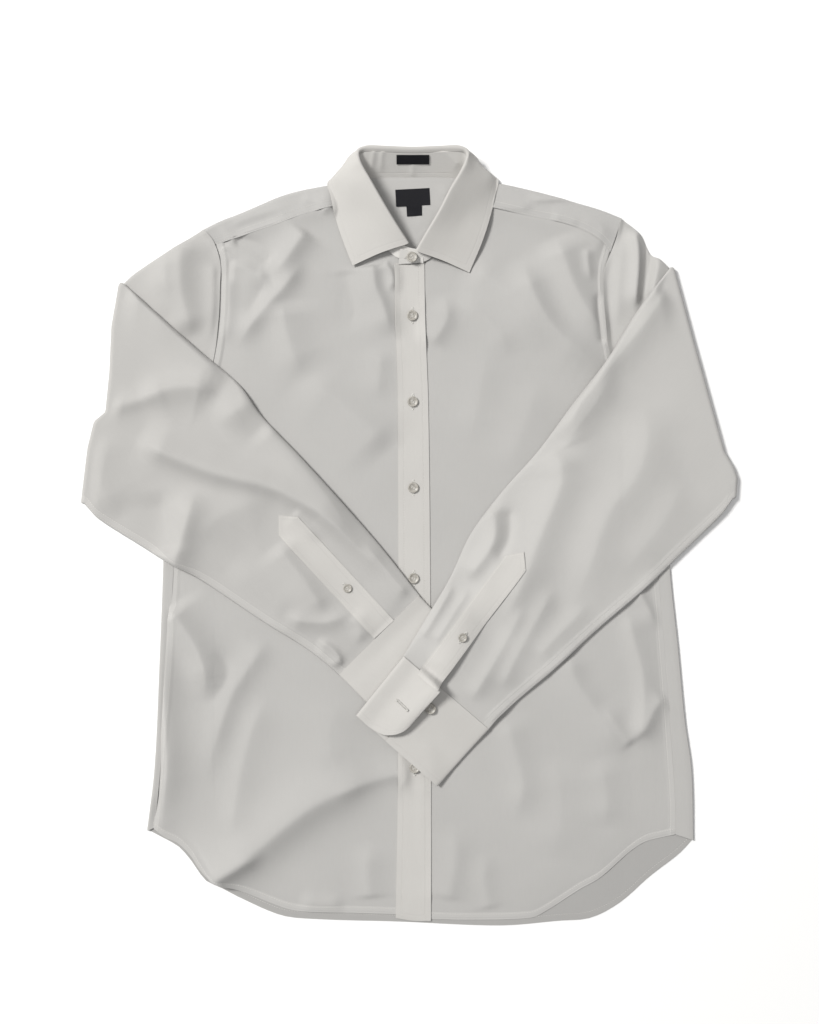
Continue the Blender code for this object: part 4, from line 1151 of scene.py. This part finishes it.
FRONT_BUTTONS = (228, 138, 48, -47, -145, -245)
for number, y in enumerate(FRONT_BUTTONS, start=1):
    x = 2.0 + 0.5 * number   # the placket leans a little
    buttonhole(f"front_{number}", x, y, 15.0, 89.0)
    make_button(f"front_{number}", x, y, BUTTON_RADIUS, 0.35 * number)

# %% [markdown]
# ## Labels
# Three small woven labels sit inside the neck. They are left bare. Each is a thin stiff patch
# with its ends turned under, so it gets a slight bow and rounded ends.

# %% Make the neck labels
LABEL_WALL = 0.45
LABEL_BOW = 0.5


def patch_shares(columns, rows):
    u, v = spread(columns, rows)
    return u, v, (u - 0.5)[..., None], (0.5 - v)[..., None]


def make_label(name, x, y, width, depth, turn=3.0):
    u, v, across, down = patch_shares(40, 22)
    right, up = turned(turn)
    grid = np.array((x, y, 0)) + right * across * width + up * down * depth
    rest = pile_top(3.0, 3.0)
    grid[..., 2] = rest(grid[..., 0], grid[..., 1]) + LABEL_WALL + 0.2
    grid[..., 2] += LABEL_BOW * (1 + np.sin(u * math.pi * 1.5 + 0.5)) * v
    return cloth(name, grid, LABEL_WALL, LABEL, "woven_label")


label_main = make_label("label_main", 3.0, 352.5, 36, 18)
label_size = make_label("label_size", 4.5, 338.4, 16, 11)

# %% [markdown]
# ## Collar
# The collar has two parts: a band that stands round the neck, and a fall that rolls over its top
# and spreads into two points. Both follow the same stations round the neck, each with the place of
# the seam, the roll, the widest part and the outer edge.

# %% The collar's stations
COLLAR_ROLL = 2.2
STAND_TOP = 4.0
COLLAR_SEAM = 0.6
Station = namedtuple(
    "Station", "neck_x neck_y fold_x fold_y fold_z side_x side_y side_z edge_x edge_y edge_z"
)
COLLAR_BACK = Station(3, 373, 3, 400, 24, 3, 391, 8.5, 3, 378, 0)
COLLAR_RIGHT = (
    Station(-26, 373, -27, 401, 24.5, -28, 392, 9, -28, 379, 0),
    Station(-45, 372, -45, 401, 25.5, -48, 394, 10, -47, 381, 0),
    Station(-55, 369, -54, 396, 27, -63, 393, 11, -60, 381, 0),
    Station(-60, 364, -52, 386, 28, -71, 383, 12, -73, 377, 0.6),
    Station(-62, 357, -47, 376, 28, -78, 371, 12, -86, 368, 2.5),
    Station(-58, 347, -41, 366, 28, -66, 359, 17, -83, 353, 5.5),
    Station(-44, 327, -27, 342, 25, -52, 335, 14, -77, 327, 5.5),
    Station(-29, 305, -13, 320, 20, -40, 312, 12.5, -69, 303, 6.5),
    Station(-13, 289, -1, 303, 14, -30, 293, 11, -60, 280, 7.5),
)
COLLAR_LEFT = (
    Station(32, 373, 33, 401, 24.5, 34, 392, 9, 34, 379, 0),
    Station(51, 372, 51, 401, 25.5, 54, 394, 10, 53, 381, 0),
    Station(61, 369, 60, 395, 27, 69, 392, 11, 66, 381, 0),
    Station(66, 363, 57, 384, 28, 76, 383, 12, 79, 378, 0.6),
    Station(67, 355, 51, 372, 28, 83, 373, 12, 92, 371, 2.5),
    Station(62, 344, 42, 357, 28, 70, 355, 17, 89, 353, 7),
    Station(49, 325, 30, 334, 25, 56, 329, 15, 83, 328, 8.5),
    Station(33, 302, 16, 311, 20, 45, 303, 13, 74, 301, 8),
    Station(17, 286, 6, 295, 14, 34, 285, 10, 62, 273, 6),
)
BAND_UNDER = ((14, 283, 4.6), (13, 296, 8.5))
BAND_OVER = ((-12, 282, 5.0), (-10, 297, 12.0))
Frame = namedtuple("Frame", "neck centre up out side edge")


def collar_frames():
    """Each station's places, with the directions up the band and out, square to its run."""
    stations = COLLAR_RIGHT[::-1] + (COLLAR_BACK,) + COLLAR_LEFT
    folds = [np.array((s.fold_x, s.fold_y, s.fold_z), float) for s in stations]
    rest = pile_top(5.0, 0)
    frames = []
    for i, s in enumerate(stations):
        run = unit(folds[min(i + 1, len(folds) - 1)] - folds[max(i - 1, 0)])
        neck = np.array((s.neck_x, s.neck_y, 0.0))
        neck[2] = rest(neck[0], neck[1]) + 0.3
        up = folds[i] - neck
        up = unit(up - run * up.dot(run))
        side = np.array((s.side_x, s.side_y, s.side_z))
        edge = np.array((s.edge_x, s.edge_y, s.edge_z))
        frames.append(Frame(neck, folds[i] - up * COLLAR_ROLL, up, np.cross(up, run), side, edge))
    return frames


def band_top(frame):
    return frame.centre - frame.out * COLLAR_ROLL - frame.up * STAND_TOP


FRAMES = collar_frames()
print("collar stations:", len(FRAMES))

# %% Make the collar band
BAND_CREASES = crease_table(
    (1.4, 2.6, 4, ((-42, 372), (-40, 384), (-37, 397)), (0.4, 0.1)),
    (1.2, 2.4, 3, ((-30, 375), (-30, 386), (-28, 398)), (0.4, 0.1)),
    (0.9, 3, 4, ((2, 374), (3, 384), (2, 394)), (0.1, 0.4)),
    (1.8, 3, 5, ((28, 402), (40, 392), (53, 381)), (0.1, 0.2)),
)


def band_grid():
    steps = np.linspace(0, 1, 4)[:, None]
    ends = [BAND_UNDER] + [(f.neck, band_top(f)) for f in FRAMES] + [BAND_OVER]
    net = [np.array(foot) * (1 - steps) + np.array(top) * steps for foot, top in ends]
    grid = fine_net(np.array(net), 240, 26)
    grid[..., 2] += lift(grid[..., 0], grid[..., 1], BAND_CREASES)
    return grid


BAND_GRID = band_grid()
# The band wears the paler tint, which is painted light.
collar_stand = cloth("collar_stand", BAND_GRID, PLIES, BAND, "fused_shirting", ("first",), side=1)


# %% [markdown]
# The third label is sewn to the inside of the band. The band's own button goes on now too, since
# the points of the fall come down on either side of it.

# %% Make the label on the band and the collar button
def band_label():
    middle = FRAMES[len(COLLAR_RIGHT)]
    right = np.array((1.0, 0, 0))
    up = unit(band_top(middle) - middle.neck)
    centre = middle.neck * 0.24 + band_top(middle) * 0.76 + np.cross(right, up) * 0.9
    _, _, across, down = patch_shares(36, 12)
    grid = centre + right * across * 34.0 + up * down * 11.0
    return cloth("label_fit", grid, LABEL_WALL, LABEL, "woven_label", face=None)


label_fit = band_label()
buttonhole("collar", 2.1, 288.4, 14.0, 0.0)
make_button("collar", 2.1, 288.4, BUTTON_RADIUS, 0.6)

# %% [markdown]
# The fall rolls over the band's top edge in a half circle, spreads over the shoulders and ends in
# the two points. Its outer part lies on the fronts, so it is kept above the pile.


# %% Make the fall of the collar
def leaf_grid():
    rest = pile_top(4.0, 3.0)
    net = []
    for frame in FRAMES:
        points = [band_top(frame) + frame.up * COLLAR_SEAM]
        for angle in (0, 60, 120, 180):
            turn = math.radians(angle)
            around = frame.up * math.sin(turn) - frame.out * math.cos(turn)
            points.append(frame.centre + around * COLLAR_ROLL)
        fall = through(points[-1], frame.side, frame.edge)
        points += [fall(share) for share in (0.25, 0.5, 0.75, 1.0)]
        net.append(points)
    grid = fine_net(np.array(net), 230, 60)
    x, y, z = grid[..., 0], grid[..., 1], grid[..., 2]
    floor = rest(x, y) + 0.4
    outer = ease((np.arange(60) / 59 - 0.55) / 0.2)[None, :] * ease(z[:, -1:] - 0.5)
    grid[..., 2] = np.maximum(np.where(z < floor * outer, floor * outer, z), 0.0)
    return grid


LEAF_GRID = leaf_grid()
collar_leaf = cloth(
    "collar_leaf", LEAF_GRID, PLIES, FUSED, "fused_shirting", ("last", "low", "high"), side=1,
    face=PLIES,
)

# %% [markdown]
# ## Sleeves
# A sleeve is a tube, pressed flat by its own weight. It runs out from the armhole, folds over at
# its outer side and comes back across the body to the cuff. The tube is drafted row by row: flat
# on the table, round the fold, then on top of what it crosses. Its creases follow the bend.

# %% Outlines and creases of the sleeves
SLEEVE_FOLD = 4.5        # radius of the fold at the outer side
SLEEVE_LAYERS = 3.2      # height of the flattened tube
SLEEVE_CROWN = 2.4       # how much higher its middle is
Sleeve = namedtuple(
    "Sleeve",
    "name finish armhole seam_side tuck level over_arm upper_edge lower_edge fold_bow arm_creases"
    " creases",
)
# The right sleeve takes the darker sleeve tint, which is painted shade.
SLEEVE_RIGHT = Sleeve(
    name="sleeve_right", finish=SLEEVE_PAINTED_SHADE, armhole=ARMSCYE_RIGHT, seam_side=-1, tuck=0.8, level=0.8,
    over_arm=((-257, 293), (-289, 272)),
    upper_edge=(
        (-300, 262), (-262, 228), (-220, 191), (-178, 155), (-155, 123), (-115, 81), (-73, 35),
        (-31, -13), (10.6, -65.6),
    ),
    lower_edge=(
        (-340, 31), (-325, 15), (-283, -12), (-257, -28), (-220, -48), (-157, -90), (-115, -116),
        (-94, -131), (-73.4, -148.6),
    ),
    fold_bow=((0.0, 0), (0.2, 0), (0.4, -6), (0.58, -9), (0.63, 1), (0.75, 3), (1.0, 0)),
    arm_creases=crease_table(
        (10.0, 18, 22, (
            (-239, 312), (-240, 285), (-239, 256), (-233, 229), (-225, 205),
        ), (0.15, 0.2)),
        (3.0, 5, 9, ((-207, 285), (-205, 256), (-206, 224), (-211, 198)), (0.15, 0.2)),
        (3.6, 9, 12, ((-254, 296), (-256, 270), (-250, 241)), (0.3, 0.4)),
        (2.3, 16, 14, ((-262, 280), (-265, 254), (-250, 226))),
    ),
    creases=crease_table(
        (7.5, 9, 18, ((-300, 257), (-273, 233), (-244, 206), (-215, 180), (-189, 157)), (0.1, 0.2)),
        (5.5, 9, 9, ((-326, 128), (-300, 134), (-273, 142), (-250, 149)), (0.03, 0.4)),
        (10.0, 12, 19, ((-284, 140), (-262, 148), (-239, 153), (-217, 152), (-197, 142))),
        (8.5, 22, 18, ((-141, 149), (-161, 139), (-181, 128), (-206, 109)), (0.1, 0.4)),
        (6.0, 12, 20, ((-153, 115), (-116, 75), (-82, 33), (-59, -3)), (0.1, 0.3)),
        (13.0, 22, 11, (
            (-286, 99), (-262, 87), (-236, 76), (-215, 68), (-191, 60), (-166, 55), (-139, 47),
            (-116, 35), (-92, 22), (-72, 4), (-50, -19), (-31, -36), (-13, -60),
        ), (0.1, 0.3)),
        (12.5, 17, 20, ((-222, 52), (-228, 27), (-235, 2), (-244, -28), (-250, -57)), (0.3, 0.05)),
        (-5.0, 12, 24, ((-262, 48), (-259, 23), (-254, -2), (-248, -24)), (0.3, 0.2)),
        (5.0, 26, 24, ((-139, 35), (-172, 29), (-202, 14), (-223, -12)), (0.35, 0.3)),
        (4.5, 28, 22, ((-330, 112), (-326, 75), (-318, 44), (-300, 16))),
        (3.9, 7, 9, ((-50, -7), (-26, -36), (0, -68)), (0.3, 0.2)),
        (3.1, 4, 8, ((-120, 23), (-106, 8), (-90, -8)), (0.1, 0.5)),
        (6.0, 11, 18, (
            (-140, -10), (-124, -31), (-109, -51), (-97, -70), (-86, -89),
        ), (0.15, 0.25)),
        (6.0, 8, 11, ((-132, -83), (-116, -90), (-92, -92), (-67, -86), (-55, -78)), (0.25, 0.4)),
        (4.4, 4, 10, ((-99, -112), (-85, -117), (-75, -127), (-71, -141)), (0.3, 0.2)),
        (3.0, 10, 8, ((-61, -82), (-52, -97), (-55, -118)), (0.3, 0.4)),
        (2.7, 19, 14, ((-190, -30), (-150, -61), (-120, -90))),
    ),
)
SLEEVE_LEFT = Sleeve(
    name="sleeve_left", finish=SLEEVE, armhole=ARMSCYE_LEFT, seam_side=1, tuck=1.2, level=0.9,
    over_arm=((241, 314), (253, 292), (262, 287)),
    upper_edge=(
        (272, 278), (241, 238), (205, 181), (168, 133), (136, 89), (94, 41), (63, -1), (42, -46),
        (21, -81), (-7.6, -128.6),
    ),
    lower_edge=(
        (337, 36), (325, 19), (283, -22), (252, -52), (199, -98), (147, -145), (94, -191),
        (81.4, -205.6),
    ),
    fold_bow=((0.0, 0), (0.3, 0), (0.8, 1), (0.87, 6), (0.92, 7), (1.0, 0)),
    arm_creases=crease_table(
        (3.4, 9, 9, ((214, 338), (208, 313), (204, 285)), (0.05, 0.3)),
        (2.8, 10, 10, ((223, 312), (220, 277), (218, 245), (216, 214)), (0.2, 0.2)),
        (8.5, 5, 9, ((235, 319), (238, 292), (237, 264), (234, 233)), (0.1, 0.2)),
        (-3.6, 5, 5, ((248, 321), (250, 291), (247, 264), (243, 235)), (0.02, 0.1)),
        (6.0, 10, 5, ((262, 302), (260, 285), (256, 266), (251, 243)), (0.05, 0.2)),
    ),
    creases=crease_table(
        (9.0, 20, 22, (
            (270, 257), (247, 223), (222, 192), (202, 166), (181, 140), (163, 116), (147, 93),
        ), (0.08, 0.2)),
        (5.0, 26, 16, ((212, 170), (193, 136), (172, 107), (158, 81))),
        (11.0, 26, 24, (
            (143, 98), (154, 79), (158, 58), (151, 35), (140, 9), (130, -17), (118, -49),
            (105, -76), (90, -106),
        ), (0.15, 0.25)),
        (7.0, 30, 24, (
            (242, 144), (248, 111), (244, 77), (231, 52), (212, 30), (200, 4), (191, -24),
            (178, -57), (162, -87),
        ), (0.25, 0.3)),
        (3.6, 10, 10, ((120, -72), (100, -112), (82, -143), (62, -176)), (0.2, 0.15)),
        (4.2, 13, 12, ((152, -52), (131, -91), (111, -128), (94, -164)), (0.2, 0.15)),
        (3.4, 14, 12, ((190, -70), (160, -100), (130, -132)), (0.3, 0.2)),
        (8.0, 13, 11, ((76, 29), (87, 14), (87, -7), (76, -26), (57, -49)), (0.15, 0.2)),
        (-4.0, 5, 12, ((103, 29), (105, 9), (102, -9), (90, -30)), (0.2, 0.2)),
        (5.0, 28, 8, ((118, -15), (93, -38), (65, -76), (39, -114), (21, -141)), (0.25, 0.1)),
        (3.4, 7, 7, ((64, -55), (47, -81), (26, -113)), (0.2, 0.1)),
        (2.8, 6, 6, ((46, -52), (32, -76), (12, -108)), (0.2, 0.1)),
        (4.0, 24, 22, ((290, 60), (262, 10), (222, -40))),
    ),
)


# %% [markdown]
# One net of rows makes the whole tube, so no seam has to be closed by hand. Each row goes once
# round the sleeve. The first rows cross the upper arm, a few turn round the fold, and the rest
# cross the forearm, resting on the pile under it: softly near the fold, and bridging like a
# board near the cuff, which is stiff.

# %% Draft a sleeve
def beside(points, distance):
    """The points moved sideways by a distance, to the left of the way they run."""
    points = np.array(points, float)
    order = np.arange(len(points))
    after, before = np.minimum(order + 1, len(points) - 1), np.maximum(order - 1, 0)
    along = unit(points[after] - points[before])
    return [tuple(p) for p in points + distance * np.stack([-along[:, 1], along[:, 0]], axis=1)]


def spanned(heights):
    """The lowest line without hollows over evenly spaced heights, as stiff cloth lies on them."""
    last = len(heights) - 1
    spans = []
    for i, height in enumerate(heights):
        for before in range(i):
            for after in range(i + 1, last + 1):
                part = (i - before) / (after - before)
                height = max(height, heights[before] * (1 - part) + heights[after] * part)
        spans.append(height)
    return np.array(spans)


SPAN_STEPS = 12
TOP_COLUMNS = 92         # columns on the side that the forearm shows
ARM_COLUMNS = 56         # columns on the side that the upper arm shows
ARM_ROWS = 46
TURN_ROWS = 14
FOREARM_ROWS = 160
REST_ROWS = 17           # rows at which the forearm's rest on the pile is measured
UNDERARM_FELL = 7.0
SLEEVE_LEAST = 1.2       # height of a pressed tube
CUFF_DRAW = 1.1          # how far the sleeve's end lifts off, to fit inside the cuff


def sleeve_grid(form, gap=0.35):
    upper, lower = through(*form.upper_edge), through(*form.lower_edge)
    fold_start, fold_end = upper(0.0), lower(0.0)
    run = fold_end - fold_start
    outward = np.array((run[1], -run[0], 0.0)) / np.hypot(run[0], run[1])
    if outward[0] * fold_start[0] < 0:
        outward = -outward
    bow_at, bow_by = zip(*form.fold_bow)

    def bow(w):
        return outward * np.interp(w, bow_at, bow_by)[..., None]

    def fold_at(w):
        return fold_start + (fold_end - fold_start) * np.asarray(w)[..., None] + bow(w)

    armhole = beside(form.armhole, form.seam_side * -form.tuck)
    arm = panel(
        top=through(armhole[0], *form.over_arm, fold_start[:2]),
        bottom=through(armhole[-1], fold_end[:2]), first=through(*armhole), last=fold_at,
    )
    s = np.concatenate([np.linspace(0, 1, TOP_COLUMNS + 1), np.linspace(1, 0, ARM_COLUMNS + 1)[1:]])
    w = 0.5 * s + 0.5 * (1 - np.cos(math.pi * s)) / 2
    facing = np.concatenate([-np.ones(TOP_COLUMNS + 1), np.ones(ARM_COLUMNS)])

    def share_of(width, thick, blunt=1.5):
        """0 on the first side of the tube, 1 on the other, rounded at its two edges. The upper
        edge is the more blunt."""
        from_edge = np.minimum(w, 1 - w) * width
        radius = np.maximum(thick, 2.4) * np.where(w < 0.5, blunt, 0.5)
        round_off = np.sqrt(np.clip(1 - (1 - np.minimum(from_edge / radius, 1)) ** 2, 0, 1))
        return 0.5 + 0.5 * facing * round_off

    start = arm(np.zeros_like(w), w)
    start_top = pile_top(3.0, 0.8)(start[:, 0], start[:, 1]) + form.level
    rows = []
    for t in np.linspace(0.0, 1.0, ARM_ROWS + 1)[:-1]:
        spots = arm(np.full_like(w, t), w)
        folds = lift(spots[:, 0], spots[:, 1], form.arm_creases)
        thick = np.maximum(SLEEVE_LAYERS + folds, SLEEVE_LEAST)
        width = np.linalg.norm(arm(np.array(t), np.array(0.0)) - arm(np.array(t), np.array(1.0)))
        risen = ease(t / 0.06)
        low = 0.6 * (1 - risen)
        high = start_top + (thick - start_top) * risen
        spots[:, 2] = low + share_of(width, thick) * (high - low)
        rows.append(spots)
    fold_width = np.linalg.norm(run)
    for angle in np.linspace(0, 180, TURN_ROWS + 1)[:-1]:
        turn = math.radians(angle)
        radius = SLEEVE_FOLD - share_of(fold_width, np.array(SLEEVE_LAYERS)) * SLEEVE_LAYERS
        spots = fold_at(w) + outward * (radius * math.sin(turn))[:, None]
        spots[:, 2] = SLEEVE_FOLD - radius * math.cos(turn)
        rows.append(spots)

    steps = np.linspace(0, 1, SPAN_STEPS + 1)
    near, far = pile_top(7.0, 8.0), pile_top(16.0, 4.0)
    rests = []
    for t in np.linspace(0, 1, REST_ROWS):
        line = upper(t) + (lower(t) - upper(t)) * steps[:, None]
        soft = near(line[:, 0], line[:, 1])
        crossed = np.maximum(lift(line[:, 0], line[:, 1], form.arm_creases), 0) + SLEEVE_LAYERS
        soft = np.maximum(soft, crossed)
        stiff = spanned(far(line[:, 0], line[:, 1]))
        rests.append(soft + (stiff - soft) * ease((t - 0.55) / 0.3) + gap)
    rests = np.array(rests)[..., None]
    for t in np.linspace(0.0, 1.0, FOREARM_ROWS):
        spots = upper(t) + (lower(t) - upper(t)) * w[:, None] + bow(w) * max(0.0, 1 - t / 0.12)
        along = smooth_along(rests, np.array([t]), np.linspace(0, 1, REST_ROWS))[0]
        rest = smooth_along(along, w, steps)[:, 0]
        spring = 2 * SLEEVE_FOLD - SLEEVE_LAYERS
        bottom = np.maximum(spring + (rest - spring) * ease(t / 0.16), rest)
        crown = SLEEVE_CROWN * 4 * w * (1 - w) * ease(t / 0.2) * ease((1 - t) / 0.15)
        folds = lift(spots[:, 0], spots[:, 1], form.creases) * ease(t / 0.06)
        folds += ripple(spots[:, 0], spots[:, 1], 0.8, 70, 21) * ease(t / 0.1)
        thick = np.maximum(SLEEVE_LAYERS + crown + folds, 1.3)
        width = np.linalg.norm(upper(t) - lower(t))
        thick += raised((1 - w) * width - 2.5, UNDERARM_FELL, 0.6) * ease(t / 0.05)
        end = ease((t - 0.96) / 0.04)
        thick = thick * (1 - end) + SLEEVE_LEAST * end
        blunt = 0.4 + 1.1 * ease((t - 0.32) / 0.12)
        spots[:, 2] = bottom + CUFF_DRAW * end + thick - share_of(width, thick, blunt) * thick
        rows.append(spots)
    return np.array(rows)


print("a sleeve has", ARM_ROWS + TURN_ROWS + FOREARM_ROWS, "rows")

# %% [markdown]
# ## Cuffs
# A cuff is a stiff band. The right one is buttoned, a flattened tube that shows as a strip beside
# the other sleeve. The left one is open: a coil whose rounded buttonhole end lies on top.

# %% Draft the cuffs
Cuff = namedtuple("Cuff", "seam_a seam_b end_a end_b button opened")
CUFF_RIGHT = Cuff((11, -66), (-73, -149), (61, -118), (-22, -200), (2, -131), opened=False)
CUFF_LEFT = Cuff((-8, -129), (81, -206), (-56, -189), (29, -264), (21.5, -182), opened=True)
CUFF_LAYERS = 3.8
CUFF_START = -0.03       # a cuff starts a little way over the sleeve's end
CUFF_UNDER = 3.5         # height of the open cuff's inner turn
CUFF_OVER = 5.4          # height of its outer turn
CUFF_CORNER = 32.0
CUFF_OVERLAP = (0.36, 0.44)
CUFF_LIP = 12.5          # how far the open cuff's free end stands up


def cuff_plan(cuff):
    corners = [np.array((*corner, 0.0)) for corner in cuff[:4]]

    def at(w, t):
        seam = corners[0] * (1 - w) + corners[1] * w
        return seam * (1 - t) + (corners[2] * (1 - w) + corners[3] * w) * t

    return at


def stiff_rest(plan, t):
    steps = np.linspace(0, 1, SPAN_STEPS + 1)
    line = np.array([plan(w, t) for w in steps])
    heights = spanned(pile_top(16.0, 3.0)(line[:, 0], line[:, 1])) + 0.4
    return lambda w: float(np.interp(w, steps, heights))


def closed_cuff_grid(cuff):
    plan = cuff_plan(cuff)
    width = np.linalg.norm(plan(1, 0) - plan(0, 0))
    half = CUFF_LAYERS / 2
    flat, bend = 1.2 * half / width, 0.3 * half / width
    around = [(w, -1.0) for w in np.linspace(flat, 1 - flat, 11)]
    around += [(1 - bend, -0.7), (1.0, 0.0), (1 - bend, 0.7)]
    around += [(w, 1.0) for w in np.linspace(1 - flat, flat, 11)]
    around += [(bend, 0.7), (0.0, 0.0), (bend, -0.7), (flat, -1.0)]
    net = []
    for t in np.linspace(CUFF_START, 1, 7):
        rest = stiff_rest(plan, t)
        row = []
        for w, up in around:
            place = plan(w, t)
            place[2] = rest(w) + half * (1 + up)
            row.append(place)
        net.append(row)
    return fine_net(np.array(net), 40, 170)


def open_cuff_grid(cuff):
    plan = cuff_plan(cuff)
    under_end, over_end = CUFF_OVERLAP
    width = np.linalg.norm(plan(1, 0) - plan(0, 0))
    low, high = CUFF_UNDER, CUFF_OVER
    net = []
    for t in np.linspace(CUFF_START, 1, 8):
        rest = stiff_rest(plan, t)
        row = []

        def put(w, height, t=t):
            place = plan(w, t)
            place[2] = rest(w) + height
            row.append(place)

        for i in range(6):
            put(under_end + (1 - low / width - under_end) * i / 5, low)
        for bend, share in ((0.1, 0.78), (0.0, 0.5), (0.1, 0.22)):
            put(1 - bend * low / width, low * share)
        for i in range(8):
            put(1 - low / 2 / width - (1 - (low + high) / 2 / width) * i / 7, 0.0)
        for bend, share in ((0.1, 0.2), (0.0, 0.5), (0.1, 0.8)):
            put(bend * high / width, high * share)
        for share in (0.0, 0.34, 0.66, 0.8, 0.88, 0.94, 0.98, 1.0):
            w = high / 2 / width + (over_end - high / 2 / width) * share
            corner = max(0.0, CUFF_CORNER - (over_end - w) * width) / CUFF_CORNER
            short = CUFF_CORNER * (1 - math.sqrt(max(0.0, 1 - corner**2)))
            depth = np.linalg.norm(plan(w, 1) - plan(w, 0))
            lip = CUFF_LIP * ease((share - 0.3) / 0.7) * (1 - 0.5 * t)
            put(w, high + lip, t * (1 - short / depth))
        net.append(row)
    return fine_net(np.array(net), 44, 190)


for cuff in (CUFF_RIGHT, CUFF_LEFT):
    print("a cuff lies", round(math.dist(cuff.seam_a, cuff.seam_b)), "mm wide")

# %% [markdown]
# The sleeve's slit is bound by a narrow strip that ends in a point, the gauntlet. It lies on the
# forearm as the placket lies on the fronts, and the left one's lower edge stands up a little.

# %% Draft the sleeve plackets
Strip = namedtuple("Strip", "foot tip width lip sunk button")
STRIP_RIGHT = Strip((-27, -100), (-137, 19), 28.0, lip=0.0, sunk=0.8, button=(-65, -57))
STRIP_LEFT = Strip((17.5, -153.5), (118, -19), 26.0, lip=6.0, sunk=0.6, button=(54.6, -107.6))
STRIP_GRID = (25, 110)


def gauntlet_grid(strip):
    foot, tip = np.array((*strip.foot, 0.0)), np.array((*strip.tip, 0.0))
    length = np.linalg.norm(tip - foot)
    along = unit(tip - foot)
    side = np.array((along[1], -along[0], 0.0))
    point = strip.width / 2 * 1.1

    def plan(u, v):
        u, v = u[..., None], v[..., None]
        top = length - point * np.abs(2 * u - 1)
        return foot + along * top * (1 - v) + side * (u - 0.5) * strip.width

    grid = lying(plan, *STRIP_GRID, 2.0, 2.5, PLIES - strip.sunk)
    u, v = spread(*STRIP_GRID)
    grid[..., 2] += strip.lip * ease(u) * ease((v - 0.4) / 0.55)
    return grid


print("gauntlets:", STRIP_RIGHT.width, "and", STRIP_LEFT.width, "mm wide")

# %% [markdown]
# The arms are laid one after the other, because the left one lies on the right one's cuff. Each
# time the sleeve and its cuff come first, then the pointed placket strip and the buttons on them.

# %% Lay the arms
Arm = namedtuple("Arm", "name opened sleeve cuff gauntlet sleeve_grid cuff_grid strip_grid")


def lay_arm(form, cuff, strip):
    arm = form.name.split("_")[1]
    sleeve = sleeve_grid(form)
    band = open_cuff_grid(cuff) if cuff.opened else closed_cuff_grid(cuff)
    across = run_lengths(sleeve, 1)
    underarm = np.abs(across - across[:, TOP_COLUMNS:TOP_COLUMNS + 1])
    tube = cloth(
        form.name, sleeve, SHIRTING, form.finish, "shirting", closed=True, rims=underarm
    )
    how = {"side": 1, "face": PLIES} if cuff.opened else {"closed": True}
    edges = ("high", "last") if cuff.opened else ("high",)
    cuff_band = cloth(f"cuff_{arm}", band, PLIES, FUSED, "fused_shirting", edges, **how)
    places = gauntlet_grid(strip)
    gauntlet = cloth(
        f"gauntlet_{arm}", places, PLIES, FUSED, "fused_shirting", ("first", "last", "high")
    )
    run = np.subtract(strip.tip, strip.foot)
    buttonhole(f"gauntlet_{arm}", *strip.button, 12.0, math.degrees(math.atan2(run[1], run[0])))
    make_button(f"gauntlet_{arm}", *strip.button, SMALL_BUTTON_RADIUS, 0.3)
    make_button(f"cuff_{arm}", *cuff.button, BUTTON_RADIUS, 0.9, 0.1 if cuff.opened else 0.8)
    return Arm(arm, cuff.opened, tube, cuff_band, gauntlet, sleeve, band, places)


ARMS = (
    lay_arm(SLEEVE_RIGHT, CUFF_RIGHT, STRIP_RIGHT), lay_arm(SLEEVE_LEFT, CUFF_LEFT, STRIP_LEFT),
)
buttonhole("cuff_left", -8.4, -177.5, 14.0, -42.0)

# %% [markdown]
# ## Sewing
# Rows of stitches go on last. Felled seams and the yoke have two rows, plackets one along each
# side, and the collar, the cuffs and the hem one row each.

# %% Sew the seams
SHOWN = np.s_[ARM_ROWS + TURN_ROWS + 1:, :TOP_COLUMNS + 1]   # the forearm's side that shows
for side, grid, armhole in (("right", RIGHT_GRID, "first"), ("left", LEFT_GRID, "last")):
    rows = ((armhole, 1.6), (armhole, FELL - 0.6), ("low", HEM - 0.5))
    sew(f"front_{side}", "shirting", grid, *rows)
sew("back", "shirting", BACK_GRID, ("low", HEM))
sew("yoke", "shirting", YOKE_GRID, ("low", 1.6), ("low", 7.0), ("high", 1.6), ("high", 7.0))
sew("placket", "fused_shirting", PLACKET_GRID, ("first", 6.0), ("last", 6.0))
sew("collar_stand", "fused_shirting", BAND_GRID, ("first", 2.0, (0.02, 0.98)), wall=-0.1)
sew(
    "collar_leaf", "fused_shirting", LEAF_GRID, ("low", 6.0, (0.3, 0.93)),
    ("high", 6.0, (0.3, 0.93)), ("last", 6.0, (0.03, 0.97)), wall=PLIES,
)
for arm in ARMS:
    sew(f"sleeve_{arm.name}", "shirting", arm.sleeve_grid[SHOWN], ("last", 3.6), ("last", 9.0))
    rows = [("high", 6.0)] + [("last", 6.0, (0.0, 0.9))] * arm.opened
    sew(f"cuff_{arm.name}", "fused_shirting", arm.cuff_grid, *rows, wall=PLIES * arm.opened)
    rows = ((edge, 2.0) for edge in ("first", "last", "high"))
    sew(f"gauntlet_{arm.name}", "fused_shirting", arm.strip_grid, *rows)

# %% [markdown]
# ## How the sleeves were cut
# A sleeve is cut as one piece that goes all the way round the arm.

print("all pieces made")
